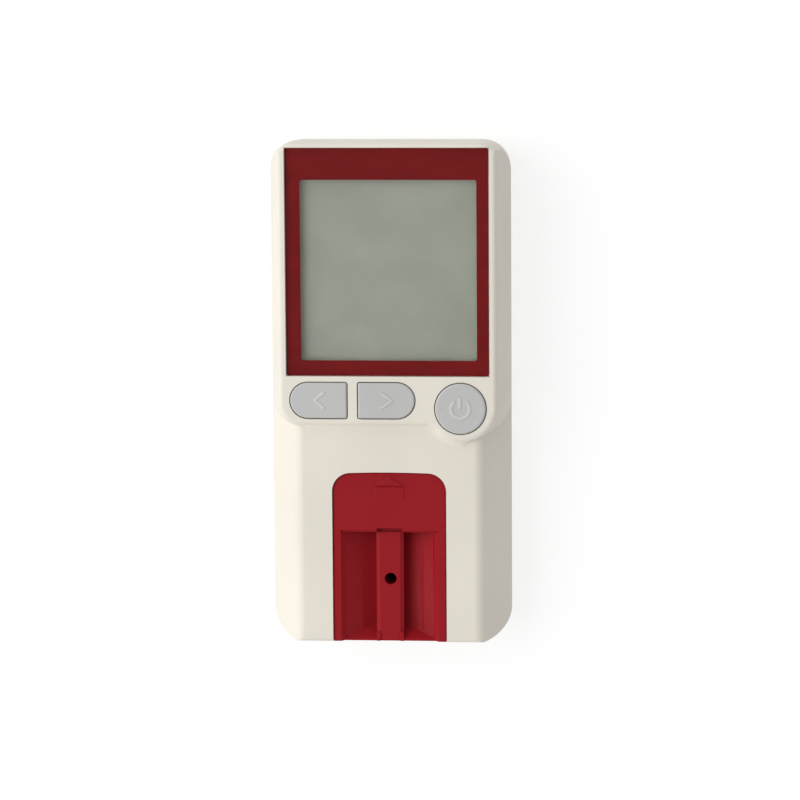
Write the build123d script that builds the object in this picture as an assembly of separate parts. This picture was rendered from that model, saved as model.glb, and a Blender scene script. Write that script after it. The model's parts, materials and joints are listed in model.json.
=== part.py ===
from build123d import *
import math
import os

# Hemoglobin meter that reads test strips.
# Frame: origin under the middle of the casing on the resting plane, +X to the right,
# +Y towards the display end, +Z out of the display face. Millimetres.

# Casing, as seen from the front and from the side
body_width = 60.0
body_length = 125.0
body_height = 25.0
corner_radius = 7.5
wall = 2.0
foot_height = 0.6
parting_height = 12.0
parting_step = 0.15
rear_draft = 3.0
rear_edge_bevel = 1.9
floor_thickness = 2.0

# Lower front plane with its sloping flanks
step_height = 2.0
lower_flank_run = 7.2
lower_edge_radius = 3.0
inner_edge_radius = 1.5
end_edge_radius = 1.2

# Raised upper part round the display and the buttons
flank_run = 3.1
step_below_caps = 1.53
step_corner = 5.0
bulge_margin = 2.2
bulge_below_cap = 1.82
bulge_blend = 4.5
rim_radius = 1.25
skirt_top_drop = 1.1
skirt_run = 1.9

# Seam between the two casing halves
lip_height = 0.7
lip_thickness = 0.85
lip_clearance = 0.1

# Display window
lens_side_border = 1.8
lens_length = 56.4
lens_rim = 1.1
lens_sink = 0.3
lens_thickness = 1.05
lens_corner = 0.5
mask_thickness = 0.15
lens_clearance = 0.15
ledge_thickness = 1.3
ledge_overlap = 0.45
window_side_border = 3.3
window_length = 44.8
window_top_border = 7.9
window_x = 0.3
window_corner = 0.6
window_margin = 0.4

# Display cell and its frame
gasket_thickness = 0.6
film_thickness = 0.2
cell_thickness = 1.8
cell_overlap = 1.4
cell_clearance = 0.1
frame_wall = 0.8
frame_boss_clearance = 0.15
reflector_inset = 2.9
zebra_width = 1.8
zebra_inset = 0.4
zebra_end_inset = 1.8
peg_radius = 0.7
peg_clearance = 0.05
peg_inset = 1.4

# Main circuit board
board_thickness = 1.6
board_bay_gap = 0.4
board_side_gap = 6.2
board_tub_gap = 2.66
board_end_clearance = 0.4
board_boss_radius = 2.0
board_screw_radius = 0.9
board_screw_head_radius = 1.7
board_screw_head = 1.2
board_screw_length = 4.0
board_hole_clearance = 0.15
upper_board_screw_x = 14.0
lower_board_screw_inset = 2.4
board_notch_clearance = 0.5

# Buttons and their tact switches
cap_length = 8.92
cap_corner = 0.5
cap_bridge = 2.75
cap_left_inset = 0.85
cap_gap_to_lens = 1.7
cap_to_power = 5.03
cap_stand_out = 0.4
cap_edge_bevel = 0.3
flat_cap_drop = 0.15
dish_depth = 0.2
dish_margin = 0.9
dish_slope_width = 1.2
power_cap_diameter = 12.6
power_cap_inset = 8.87
power_cap_drop = 1.92
cap_gap = 0.25
flange_margin = 0.7
flange_thickness = 0.9
flange_gap = 0.05
flange_side_gap = 0.2
button_travel = 0.4
cap_post_radius = 1.9
cap_post_length = 0.8
cap_post_gap = 0.05
switch_size = 6.0
switch_floor = 0.4
switch_edge = 0.4
plunger_radius = 1.7
plunger_stand_out = 1.0
plunger_margin = 0.2
plunger_clearance = 0.1

# Strip holder and its bay
holder_width = 28.3
holder_below_step = 12.41
holder_crown = 0.37
holder_corner = 4.6
holder_sink = 0.5
holder_setback = 0.15
holder_clearance = 0.1
holder_floor_gap = 0.12
holder_edge_bevel = 0.3
plate_length = 15.14
scoop_inner_x = 3.4
scoop_outer_x = 12.2
scoop_depth = 5.6
scoop_floor_slope = 12.0
scoop_bevel = 0.6
scoop_ramp = 3.0
scoop_lip = 0.4
rail_drop = 1.0
rail_bevel_width = 0.9
rail_bevel_depth = 0.6
strip_width = 5.9
tunnel_height = 0.5
tunnel_length = 11.0
mouth_width = 6.3
mouth_length = 1.05
mouth_depth = 0.6
read_hole_x = 0.15
read_hole_reach = 15.78
read_hole_diameter = 3.0
nib_width = 0.9
nib_length = 2.2
nib_height = 0.4
core_wall = 1.8
core_roof = 2.0
tongue_width = 0.7
tongue_height = 1.4
tongue_bottom = 0.9
tongue_below_crest = 7.5
tongue_clearance = 0.12
tub_wall = 1.8
tub_floor = 1.2

# Optical head under the strip bay
window_disc_diameter = 7.0
window_disc_thickness = 0.6
window_disc_clearance = 0.05
window_light_diameter = 5.2
block_width = 17.0
block_length = 12.0
block_gap = 0.05
block_chamfer = 1.0
sensor_bore_radius = 2.0
led_bore_radius = 1.95
led_offset = 5.4
optics_board_width = 25.0
optics_board_length = 26.0
optics_board_below_block = 5.8
optics_screw_x = 9.9
optics_screw_reach = 10.4
optics_boss_radius = 2.4
led_size = 2.2
led_height = 1.2
photodiode_size = 2.6
photodiode_height = 0.9

# Ribbon between the boards
ribbon_width = 8.0
ribbon_thickness = 0.3
ribbon_bend = 0.8
ribbon_reach = 3.4
ribbon_rise = 2.3
connector_edge_gap = 1.6
connector_width = 10.0
connector_length = 3.6
connector_height = 2.4

# Parts on the underside of the main board
chip_size = 10.0
chip_thickness = 1.4
chip_x = -6.0
chip_below_row = 2.04
crystal_length = 8.0
crystal_width = 3.2
crystal_corner = 1.45
crystal_height = 2.6
crystal_x = 5.6
crystal_below_row = 3.44
capacitor_radius = 2.0
capacitor_height = 5.4
capacitor_side_inset = 6.2
capacitor_pitch = 5.8
capacitor_below_row = 1.44
capacitor_count = 2
buzzer_radius = 4.5
buzzer_height = 4.2
buzzer_hole_radius = 0.8
buzzer_side_inset = 8.4
buzzer_below_row = 3.44

# Battery bay, three AAA cells side by side
battery_diameter = 10.5
battery_length = 44.5
battery_nub_diameter = 3.8
battery_nub_length = 0.9
battery_edge = 0.5
battery_pitch = 10.9
battery_count = 3
battery_clearance = 0.35
bay_end_gap = 8.5
bay_length = 50.0
bay_wall = 1.2
bay_flange = 3.2
bay_flange_thickness = 1.4
contact_thickness = 0.4
contact_width = 7.0
contact_height = 8.0
spring_thickness = 0.3
spring_width = 4.4
spring_bend = 0.8
tag_width = 3.0
tag_clearance = 0.2

# Battery door
door_margin = 2.5
door_thickness = 1.8
door_corner = 2.0
door_clearance = 0.2
door_seat_gap = 0.05
tab_width = 6.0
tab_x = 10.0
tab_height = 1.3
tab_root = 1.0
tab_reach = 1.6
tab_clearance = 0.3
latch_width = 12.0
latch_length = 9.0
latch_slit = 0.8
latch_groove_depth = 0.5
latch_groove_width = 0.9
latch_groove_pitch = 2.0
latch_groove_count = 3

# Screws and feet of the casing
housing_screw_inset = 5.6
boss_radius = 2.1
post_radius = 3.1
screw_radius = 1.1
screw_head_radius = 2.0
screw_head_height = 1.6
screw_well_clearance = 0.35
screw_hole_clearance = 0.15
screw_seat_height = 4.8
post_top_height = 7.0
boss_gap = 0.05
screw_length = 11.0
pilot_spare = 0.5
foot_radius = 3.0
foot_thickness = 1.2
foot_clearance = 0.05
foot_door_gap = 1.0
foot_end_inset = 17.0

# Small hidden rounds, such as screws and pins, are cut with flat sides
small_sides = 10
broad_sides = 20

# Heights that several pieces share
lower_face_height = body_height - step_height
rear_face = foot_height
inner_floor = rear_face + floor_thickness
roof_underside = body_height - wall
lens_top = body_height - lens_sink
mask_top = lens_top - lens_thickness
ledge_top = mask_top - mask_thickness
ledge_bottom = ledge_top - ledge_thickness
film_top = ledge_bottom - gasket_thickness
cell_top = film_top - film_thickness
cell_bottom = cell_top - cell_thickness
door_inner = rear_face + door_thickness
battery_axis_height = door_inner + battery_clearance + battery_diameter / 2
bay_ceiling = battery_axis_height + battery_diameter / 2 + battery_clearance
board_bottom = bay_ceiling + bay_wall + board_bay_gap
board_top = board_bottom + board_thickness
cap_top = body_height + cap_stand_out
flange_top = roof_underside - flange_gap
flange_bottom = flange_top - flange_thickness
plunger_top = flange_bottom - cap_post_length - cap_post_gap
switch_top = plunger_top - plunger_stand_out
switch_bore_depth = switch_top - board_top - switch_floor
bay_floor_top = parting_height + tub_floor
holder_top = lower_face_height - holder_sink
holder_bottom = bay_floor_top + holder_floor_gap
tongue_low = holder_bottom + tongue_bottom
rail_top = holder_top - rail_drop
block_top = parting_height - block_gap
optics_board_top = block_top - optics_board_below_block
optics_board_bottom = optics_board_top - board_thickness

# Widths
flank_angle = math.degrees(math.atan(flank_run / (body_height - parting_height)))
raised_half_width = body_width / 2 - flank_run
lower_face_width = body_width - 2 * lower_flank_run
lens_width = 2 * (raised_half_width - lens_side_border)
window_width = lens_width - 2 * window_side_border
cell_width = window_width + 2 * cell_overlap
board_width = body_width - 2 * board_side_gap
lower_board_screw_x = board_width / 2 - lower_board_screw_inset
buzzer_x = board_width / 2 - buzzer_side_inset
capacitor_x = capacitor_side_inset - board_width / 2
cap_left_x = cap_left_inset - lens_width / 2
power_cap_x = raised_half_width - power_cap_inset
cap_row_end_x = power_cap_x - power_cap_diameter / 2 - cap_to_power
cap_width = (cap_row_end_x - cap_left_x - cap_bridge) / 2
left_cap_x = cap_left_x + cap_width / 2
right_cap_x = left_cap_x + cap_width + cap_bridge
bay_half_width = (battery_pitch * (battery_count - 1) + battery_diameter) / 2 + battery_clearance
door_half_width = bay_half_width + door_margin
housing_screw_x = body_width / 2 - housing_screw_inset
foot_x = door_half_width + foot_door_gap + foot_radius

# Places along the casing, from the display end down
top_end_y = body_length / 2
bottom_end_y = -body_length / 2
lens_top_y = top_end_y - lens_rim
lens_bottom_y = lens_top_y - lens_length
lens_mid_y = (lens_top_y + lens_bottom_y) / 2
window_mid_y = lens_top_y - window_top_border - window_length / 2
cell_length = window_length + 2 * cell_overlap
button_row_y = lens_bottom_y - cap_gap_to_lens - cap_length / 2
power_cap_y = button_row_y - power_cap_drop
step_edge_y = button_row_y - cap_length / 2 - step_below_caps
bulge_radius = power_cap_diameter / 2 + bulge_margin
bulge_bottom_y = power_cap_y - power_cap_diameter / 2 - bulge_below_cap
holder_crest_y = step_edge_y - holder_below_step
holder_end_y = bottom_end_y + holder_setback
scoop_top_y = holder_crest_y - plate_length
tongue_top_y = holder_crest_y - tongue_below_crest
read_hole_y = holder_end_y + read_hole_reach
board_bottom_y = holder_crest_y + holder_clearance + tub_wall + board_tub_gap
board_end_y = top_end_y - wall - board_end_clearance
lower_board_screw_y = board_bottom_y + lower_board_screw_inset
upper_board_screw_y = board_end_y - board_boss_radius
chip_y = button_row_y - chip_below_row
crystal_y = button_row_y - crystal_below_row
buzzer_y = button_row_y - buzzer_below_row
bay_top_y = top_end_y - bay_end_gap
bay_bottom_y = bay_top_y - bay_length
bay_mid_y = (bay_bottom_y + bay_top_y) / 2
door_bottom_y = bay_bottom_y - door_margin
door_top_y = bay_top_y + door_margin
housing_screw_y = top_end_y - housing_screw_inset
foot_y = top_end_y - foot_end_inset
over = 10.0


def block(x0, x1, y0, y1, z0, z1):
    """Box between two corners."""
    centre = Pos((x0 + x1) / 2, (y0 + y1) / 2, (z0 + z1) / 2)
    return centre * Box(x1 - x0, y1 - y0, z1 - z0)


def disc(x, y, radius, z0, z1):
    """Upright cylinder between two heights."""
    return Pos(x, y, (z0 + z1) / 2) * Cylinder(radius, z1 - z0)


def slab(sketch, z0, z1):
    """Flat outline raised from one height to another."""
    return extrude(Pos(0, 0, z0) * sketch, z1 - z0)


def peg(x, y, radius, z0, z1, sides=small_sides):
    """Upright pin, or the hole for one, with flat sides."""
    return slab(Pos(x, y) * RegularPolygon(radius, sides), z0, z1)


def joined(parts):
    """Several solids as one."""
    total = parts[0]
    for piece in parts[1:]:
        total = total + piece
    return total


def corners(x, y):
    """The four places at plus and minus x and y."""
    return [(-x, -y), (x, -y), (-x, y), (x, y)]


def plan_prism(inset, z0, z1):
    """Rounded plan of the casing between two heights, drawn in by an inset."""
    width = body_width - 2 * inset
    length = body_length - 2 * inset
    return slab(RectangleRounded(width, length, corner_radius - inset), z0, z1)


def raised_outline():
    """Edge of the raised face: a straight step with a bulge round the power button."""
    far = body_length
    bulge_x = raised_half_width - bulge_radius
    bulge_y = bulge_bottom_y + bulge_radius
    left_width = bulge_x + raised_half_width
    left = Rectangle(left_width, far - step_edge_y, align=(Align.MIN, Align.MIN))
    left = Pos(-raised_half_width, step_edge_y) * left
    corner = left.vertices().sort_by_distance((-raised_half_width, step_edge_y, 0))[0]
    left = fillet(corner, step_corner)
    right = Rectangle(bulge_radius, far - bulge_y, align=(Align.MIN, Align.MIN))
    right = Pos(bulge_x, bulge_y) * right
    outline = left + right + Pos(bulge_x, bulge_y) * Circle(bulge_radius)
    meeting_x = bulge_x - math.sqrt(bulge_radius ** 2 - (bulge_y - step_edge_y) ** 2)
    meeting = outline.vertices().sort_by_distance((meeting_x, step_edge_y, 0))[0]
    return fillet(meeting, bulge_blend)


def lower_profile(top_extra):
    """Cross-section of the lower half; top_extra carries the flanks on above the face."""
    slope = (body_width - lower_face_width) / 2 / (lower_face_height - parting_height)
    half_top = lower_face_width / 2 - slope * top_extra
    half = body_width / 2
    top = lower_face_height + top_extra
    points = [(-half, 0), (half, 0), (half, parting_height), (half_top, top)]
    points += [(-half_top, top), (-half, parting_height)]
    return Polygon(*points, align=None)


def along_body(profile):
    """Cross-section drawn out over the length of the casing."""
    return extrude(Plane.XZ * profile, body_length / 2, both=True)


def lower_form(inset, edge_radius):
    profile = lower_profile(0)
    if inset > 0:
        profile = offset(profile, -inset, kind=Kind.INTERSECTION)
    upper = profile.vertices().sort_by(Axis.Y)[-2:]
    profile = fillet(upper, edge_radius)
    return along_body(profile) & plan_prism(inset, 0, body_height)


def rounded_end():
    """Side view of the lower half, with the front edge of its lower end rounded."""
    side = Rectangle(2 * body_length, lower_face_height, align=(Align.MIN, Align.MIN))
    side = Pos(bottom_end_y, 0) * side
    edge = side.vertices().sort_by_distance((bottom_end_y, lower_face_height, 0))[0]
    side = fillet(edge, end_edge_radius)
    across = Plane(origin=(0, 0, 0), x_dir=(0, 1, 0), z_dir=(1, 0, 0))
    return extrude(across * side, body_width, both=True)


def raised_form(inset):
    outline = raised_outline()
    if inset > 0:
        outline = offset(outline, -inset)
    top = body_height - inset
    upright = slab(outline, parting_height, top)
    sides = upright.faces().filter_by(Axis.Z, reverse=True)
    flared = draft(sides, Plane.XY.offset(top), flank_angle)
    return flared & plan_prism(inset, 0, body_height)


def step_skirt():
    """Soft foot of the step, held inside the carried-on flanks of the lower half."""
    top = body_height - skirt_top_drop
    drop = top - lower_face_height
    start = skirt_top_drop * math.tan(math.radians(flank_angle))
    upper = Pos(0, 0, top) * offset(raised_outline(), start)
    lower = Pos(0, 0, top - drop) * offset(raised_outline(), start + skirt_run)
    slope = (body_width - lower_face_width) / 2 / (lower_face_height - parting_height)
    turn = math.pi / 2 - math.atan(slope)
    flat = lower_face_width / 2 - lower_edge_radius * math.tan(turn / 2)
    narrow = flat - slope * drop
    base = lower_face_height
    reach = Polygon((-flat, base), (flat, base), (narrow, top), (-narrow, top), align=None)
    return loft([upper, lower]) & along_body(reach)


def front_form():
    """Outside of the front cover, still solid."""
    lower = lower_form(0, lower_edge_radius) & rounded_end()
    form = lower + raised_form(0) + step_skirt()
    top_face = form.faces().sort_by(Axis.Z)[-1]
    form = fillet(top_face.outer_wire().edges(), rim_radius)
    return form - block(-body_width, body_width, -body_length, body_length, -over, parting_height)


def holder_outline(extra, end_y):
    """Outline of the strip holder, straight sides and a slightly crowned top."""
    half = holder_width / 2
    shoulder_y = holder_crest_y - holder_crown
    side = Polyline((-half, shoulder_y), (-half, end_y), (half, end_y), (half, shoulder_y))
    crown = ThreePointArc((half, shoulder_y), (0, holder_crest_y), (-half, shoulder_y))
    outline = make_face(Curve() + [side, crown])
    shoulders = outline.vertices().sort_by(Axis.Y)[-2:]
    outline = fillet(shoulders, holder_corner)
    if extra > 0:
        outline = offset(outline, extra)
    return outline


def cap_outline(margin, mirrored):
    """Arrow button: one end fully round, the other nearly square."""
    straight = cap_width - cap_length / 2
    bar = Rectangle(straight, cap_length, align=(Align.MAX, Align.CENTER))
    bar = Pos(cap_width / 2, 0) * bar
    square_corners = bar.vertices().sort_by(Axis.X)[-2:]
    bar = fillet(square_corners, cap_corner)
    outline = bar + Pos(cap_width / 2 - straight, 0) * Circle(cap_length / 2)
    if margin > 0:
        outline = offset(outline, margin)
    if mirrored:
        outline = Rot(0, 0, 180) * outline
    return outline


def button_outlines(margin):
    """Place and outline of each button, widened by a margin."""
    row = button_row_y
    left = Pos(left_cap_x, row) * cap_outline(margin, False)
    right = Pos(right_cap_x, row) * cap_outline(margin, True)
    power = Pos(power_cap_x, power_cap_y) * Circle(power_cap_diameter / 2 + margin)
    return {"left": left, "right": right, "power": power}


button_centres = {
    "left": (left_cap_x, button_row_y),
    "right": (right_cap_x, button_row_y),
    "power": (power_cap_x, power_cap_y),
}
board_screw_places = [
    (-lower_board_screw_x, lower_board_screw_y),
    (lower_board_screw_x, lower_board_screw_y),
    (-upper_board_screw_x, upper_board_screw_y),
    (upper_board_screw_x, upper_board_screw_y),
]
optics_screw_places = [
    (read_hole_x - optics_screw_x, read_hole_y - optics_screw_reach),
    (read_hole_x + optics_screw_x, read_hole_y + optics_screw_reach),
]
housing_screw_places = corners(housing_screw_x, housing_screw_y)


def window_opening(margin):
    width = window_width + 2 * margin
    length = window_length + 2 * margin
    opening = Rectangle(width, length)
    if margin == 0:
        opening = RectangleRounded(width, length, window_corner)
    return Pos(window_x, window_mid_y) * opening


def make_front_cover():
    outside = front_form()
    hollow = lower_form(wall, inner_edge_radius) + raised_form(wall)
    shell = outside - hollow
    # ledge that carries the window pane
    ledge_start = lens_bottom_y - lens_clearance - ledge_overlap
    ledge = block(-body_width, body_width, ledge_start, body_length, ledge_bottom, ledge_top)
    # tub of the strip bay, with its floor
    far = bottom_end_y - over
    tub = slab(holder_outline(holder_clearance + tub_wall, far), parting_height, body_height)
    # bosses for the casing screws and for the board screws
    boss_foot = post_top_height + boss_gap
    bosses = [peg(x, y, boss_radius, boss_foot, body_height) for x, y in housing_screw_places]
    bosses += [peg(x, y, board_boss_radius, board_top, body_height) for x, y in board_screw_places]
    whole = plan_prism(0, post_top_height, parting_height) + outside
    cover = shell + (joined([ledge, tub] + bosses) & whole)
    # openings
    lens_seat = Rectangle(lens_width + 2 * lens_clearance, lens_length + 2 * lens_clearance)
    cover -= slab(Pos(0, lens_mid_y) * lens_seat, ledge_top, cap_top)
    cover -= slab(window_opening(window_margin), ledge_bottom - over, ledge_top + over)
    cover -= slab(holder_outline(holder_clearance, far), bay_floor_top, body_height)
    for outline in button_outlines(cap_gap).values():
        cover -= slab(outline, flange_bottom, cap_top)
    # room for the flanges of the caps
    for outline in button_outlines(flange_margin + flange_side_gap).values():
        cover -= slab(outline, lower_face_height - wall, roof_underside)
    # grooves that guide the strip holder
    groove_half = holder_width / 2 + tongue_width + tongue_clearance
    groove_low = tongue_low - tongue_clearance
    groove_high = tongue_low + tongue_height + tongue_clearance
    groove_end = tongue_top_y + tongue_clearance
    cover -= block(-groove_half, groove_half, far, groove_end, groove_low, groove_high)
    # light path and seat of the optical window
    seat_radius = window_disc_diameter / 2 + window_disc_clearance
    seat_height = bay_floor_top - window_disc_thickness
    light_radius = window_light_diameter / 2
    x = read_hole_x
    y = read_hole_y
    cover -= peg(x, y, light_radius, parting_height - over, bay_floor_top, broad_sides)
    cover -= peg(x, y, seat_radius, seat_height, bay_floor_top, broad_sides)
    # pilot holes
    pilot_end = screw_seat_height + screw_length + pilot_spare
    for x, y in housing_screw_places:
        cover -= peg(x, y, screw_radius, 0, pilot_end)
    board_pilot_end = board_bottom + board_screw_length + pilot_spare
    for x, y in board_screw_places:
        cover -= peg(x, y, board_screw_radius, board_bottom, board_pilot_end)
    # rebate for the lip of the rear cover
    rebate_inset = wall - lip_thickness - lip_clearance
    rebate_top = parting_height + lip_height + lip_clearance
    rebate = plan_prism(rebate_inset, parting_height, rebate_top)
    rebate -= plan_prism(wall + lip_clearance, 0, body_height)
    half = holder_width / 2 + holder_clearance + tub_wall
    rebate -= block(-half, half, -body_length, 0, 0, body_height)
    return cover - rebate


def door_opening(margin):
    width = 2 * (door_half_width + margin)
    length = door_top_y - door_bottom_y + 2 * margin
    return Pos(0, bay_mid_y) * RectangleRounded(width, length, door_corner)


def make_rear_cover():
    step = parting_step
    plan = RectangleRounded(body_width - 2 * step, body_length - 2 * step, corner_radius - step)
    outside = extrude(Pos(0, 0, parting_height) * plan, rear_face - parting_height, taper=rear_draft)
    rear = outside.faces().sort_by(Axis.Z)[0]
    outside = chamfer(rear.outer_wire().edges(), rear_edge_bevel)
    inner = RectangleRounded(body_width - 2 * wall, body_length - 2 * wall, corner_radius - wall)
    hollow = extrude(Pos(0, 0, parting_height) * inner, inner_floor - parting_height, taper=rear_draft)
    cover = outside - hollow
    # lip that locates the front cover
    lip = plan_prism(wall - lip_thickness, parting_height - wall, parting_height + lip_height)
    lip -= plan_prism(wall, 0, body_height)
    half = holder_width / 2 + holder_clearance + tub_wall + lip_clearance
    lip -= block(-half, half, -body_length, 0, 0, body_height)
    cover += lip
    # battery bay: seat flange, walls and ceiling
    outer_x = bay_half_width + bay_wall
    flange_x = bay_half_width + bay_flange + door_clearance
    flange_z = door_inner + door_seat_gap
    flange_y0 = bay_bottom_y - bay_flange - door_clearance
    flange_y1 = bay_top_y + bay_flange + door_clearance
    cover -= slab(door_opening(door_clearance), 0, inner_floor)
    cover += block(-flange_x, flange_x, flange_y0, flange_y1, flange_z, flange_z + bay_flange_thickness)
    bay_y0 = bay_bottom_y - bay_wall
    bay_y1 = bay_top_y + bay_wall
    cover += block(-outer_x, outer_x, bay_y0, bay_y1, flange_z, bay_ceiling + bay_wall)
    cover -= block(-bay_half_width, bay_half_width, bay_bottom_y, bay_top_y, 0, bay_ceiling)
    # slots for the door's tabs
    tab_half = tab_width / 2 + tab_clearance
    swing = math.hypot(tab_root + tab_reach, door_thickness + tab_height) + tab_clearance
    slot_top = rear_face + door_thickness + tab_height + tab_reach
    for x in (-tab_x, tab_x):
        cover -= block(x - tab_half, x + tab_half, door_bottom_y - swing, bay_bottom_y, flange_z, slot_top)
    cover = cover + slab_under_tabs()
    # openings for the two solder tags
    for x, y in tag_places():
        tag_half = tag_width / 2 + tag_clearance
        side = contact_thickness + tag_clearance
        y0 = y - side if y > bay_mid_y else y
        cover -= block(x - tag_half, x + tag_half, y0, y0 + side, bay_ceiling, bay_ceiling + bay_wall)
    # screw posts and wells
    post_foot = inner_floor - floor_thickness / 2
    for x, y in housing_screw_places:
        post = peg(x, y, post_radius, post_foot, post_top_height)
        cover += post & plan_prism(wall / 2, 0, body_height)
        cover -= peg(x, y, screw_head_radius + screw_well_clearance, 0, screw_seat_height)
        cover -= peg(x, y, screw_radius + screw_hole_clearance, 0, post_top_height)
    # standoffs of the optics board
    for x, y in optics_screw_places:
        cover += peg(x, y, optics_boss_radius, post_foot, optics_board_bottom)
        cover -= peg(x, y, board_screw_radius, inner_floor, optics_board_bottom)
    # pockets for the feet
    for x, y in corners(foot_x, foot_y):
        cover -= peg(x, y, foot_radius + foot_clearance, 0, foot_thickness, broad_sides)
    return cover


def slab_under_tabs():
    """Rear wall that the door's tabs hook over, below the tab slots."""
    y1 = door_bottom_y - door_clearance
    y0 = y1 - bay_flange
    return block(-door_half_width, door_half_width, y0, y1, rear_face, inner_floor)


def tag_places():
    """The free ends of the battery row, where solder tags go up to the board."""
    reach = battery_pitch * (battery_count - 1) / 2
    return [(-reach, bay_top_y), (reach, bay_bottom_y)]


def make_battery_door():
    door = slab(door_opening(0), rear_face, door_inner)
    # tabs that hook inside the rear wall
    for x in (-tab_x, tab_x):
        x0 = x - tab_width / 2
        x1 = x + tab_width / 2
        tab_top = door_inner + tab_height
        hook_y = door_bottom_y - tab_reach
        door += block(x0, x1, door_bottom_y, door_bottom_y + tab_root, door_inner, tab_top)
        door += block(x0, x1, hook_y, door_bottom_y, inner_floor + door_seat_gap, tab_top)
    # spring tongue of the catch, freed by a slit on each side
    for side in (-1, 1):
        x0 = side * (latch_width + latch_slit) / 2 - latch_slit / 2
        door -= block(x0, x0 + latch_slit, door_top_y - latch_length, door_top_y, 0, body_height)
    # finger grooves on the tongue
    for i in range(latch_groove_count):
        y = door_top_y - latch_length / 2 + (i - (latch_groove_count - 1) / 2) * latch_groove_pitch
        half = latch_width / 2 - latch_groove_width
        y0 = y - latch_groove_width / 2
        door -= block(-half, half, y0, y0 + latch_groove_width, 0, rear_face + latch_groove_depth)
    return door


def make_display_lens():
    pane = Pos(0, lens_mid_y) * RectangleRounded(lens_width, lens_length, lens_corner)
    return slab(pane, mask_top, lens_top)


def make_display_mask():
    sheet = Pos(0, lens_mid_y) * RectangleRounded(lens_width, lens_length, lens_corner)
    return slab(sheet - window_opening(0), ledge_top, mask_top)


def cell_rectangle(margin):
    return Pos(0, window_mid_y) * Rectangle(cell_width + 2 * margin, cell_length + 2 * margin)


def make_display_gasket():
    return slab(cell_rectangle(-cell_clearance) - window_opening(window_margin), film_top, ledge_bottom)


def make_lcd_polariser():
    return slab(cell_rectangle(-cell_clearance), cell_top, film_top)


def make_lcd_glass():
    return slab(cell_rectangle(0), cell_bottom, cell_top)


def make_lcd_reflector():
    return slab(cell_rectangle(-reflector_inset), cell_bottom - film_thickness, cell_bottom)


def zebra_places():
    """Middle line of the contact strip at each end of the cell."""
    reach = cell_length / 2 - zebra_inset - zebra_width / 2
    return [window_mid_y - reach, window_mid_y + reach]


def peg_places():
    x = cell_width / 2 + cell_clearance + frame_wall - peg_inset
    y = cell_length / 2 + cell_clearance + frame_wall - peg_inset
    return [(px, window_mid_y + py) for px, py in corners(x, y / 2)]


def make_lcd_frame():
    outer = cell_rectangle(cell_clearance + frame_wall)
    frame = slab(outer, board_top, film_top)
    frame -= slab(cell_rectangle(cell_clearance), cell_bottom, cap_top)
    frame -= slab(cell_rectangle(-reflector_inset + cell_clearance), 0, cap_top)
    half = cell_width / 2 - zebra_end_inset + cell_clearance
    for y in zebra_places():
        reach = zebra_width / 2 + cell_clearance
        frame -= block(-half, half, y - reach, y + reach, 0, cell_bottom)
    for x, y in housing_screw_places:
        frame -= peg(x, y, boss_radius + frame_boss_clearance, 0, cap_top)
    for x, y in peg_places():
        frame += peg(x, y, peg_radius, board_bottom, board_top)
    return frame


def make_zebra_strips():
    half = cell_width / 2 - zebra_end_inset
    reach = zebra_width / 2
    places = zebra_places()
    return group([block(-half, half, y - reach, y + reach, board_top, cell_bottom) for y in places])


def make_button(name):
    """Key cap with its retaining flange and the post that meets the switch."""
    x, y = button_centres[name]
    top = cap_top if name == "power" else cap_top - flat_cap_drop
    cap = slab(button_outlines(0)[name], flange_top, top)
    cap = chamfer(cap.faces().sort_by(Axis.Z)[-1].outer_wire().edges(), cap_edge_bevel)
    if name == "power":
        # shallow dish with a flat floor
        reach = power_cap_diameter / 2 - dish_margin
        middle = Pos(x, y, cap_top - dish_depth / 2)
        cap -= middle * Cone(reach - dish_slope_width, reach, dish_depth)
    cap += slab(button_outlines(flange_margin)[name], flange_bottom, flange_top)
    return cap + peg(x, y, cap_post_radius, plunger_top + cap_post_gap, flange_bottom)


def make_switch_body(name):
    x, y = button_centres[name]
    half = switch_size / 2
    body = block(x - half, x + half, y - half, y + half, board_top, switch_top)
    body = chamfer(body.edges().filter_by(Axis.Z), switch_edge)
    bore_foot = switch_top - switch_bore_depth
    return body - peg(x, y, plunger_radius + plunger_clearance, bore_foot, switch_top)


def make_switch_plunger(name):
    x, y = button_centres[name]
    foot = switch_top - switch_bore_depth + button_travel + plunger_margin
    return peg(x, y, plunger_radius, foot, plunger_top)


def along_y(profile, y0, y1):
    """Cross-section drawn in X and Z, drawn out between two places along the casing."""
    start = Plane(origin=(0, y1, 0), x_dir=(1, 0, 0), z_dir=(0, -1, 0))
    return extrude(start * profile, y1 - y0)


def across_x(profile, x0, x1):
    """Side view drawn in Y and Z, drawn out between two places across the casing."""
    start = Plane(origin=(x0, 0, 0), x_dir=(0, 1, 0), z_dir=(1, 0, 0))
    return extrude(start * profile, x1 - x0)


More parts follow.
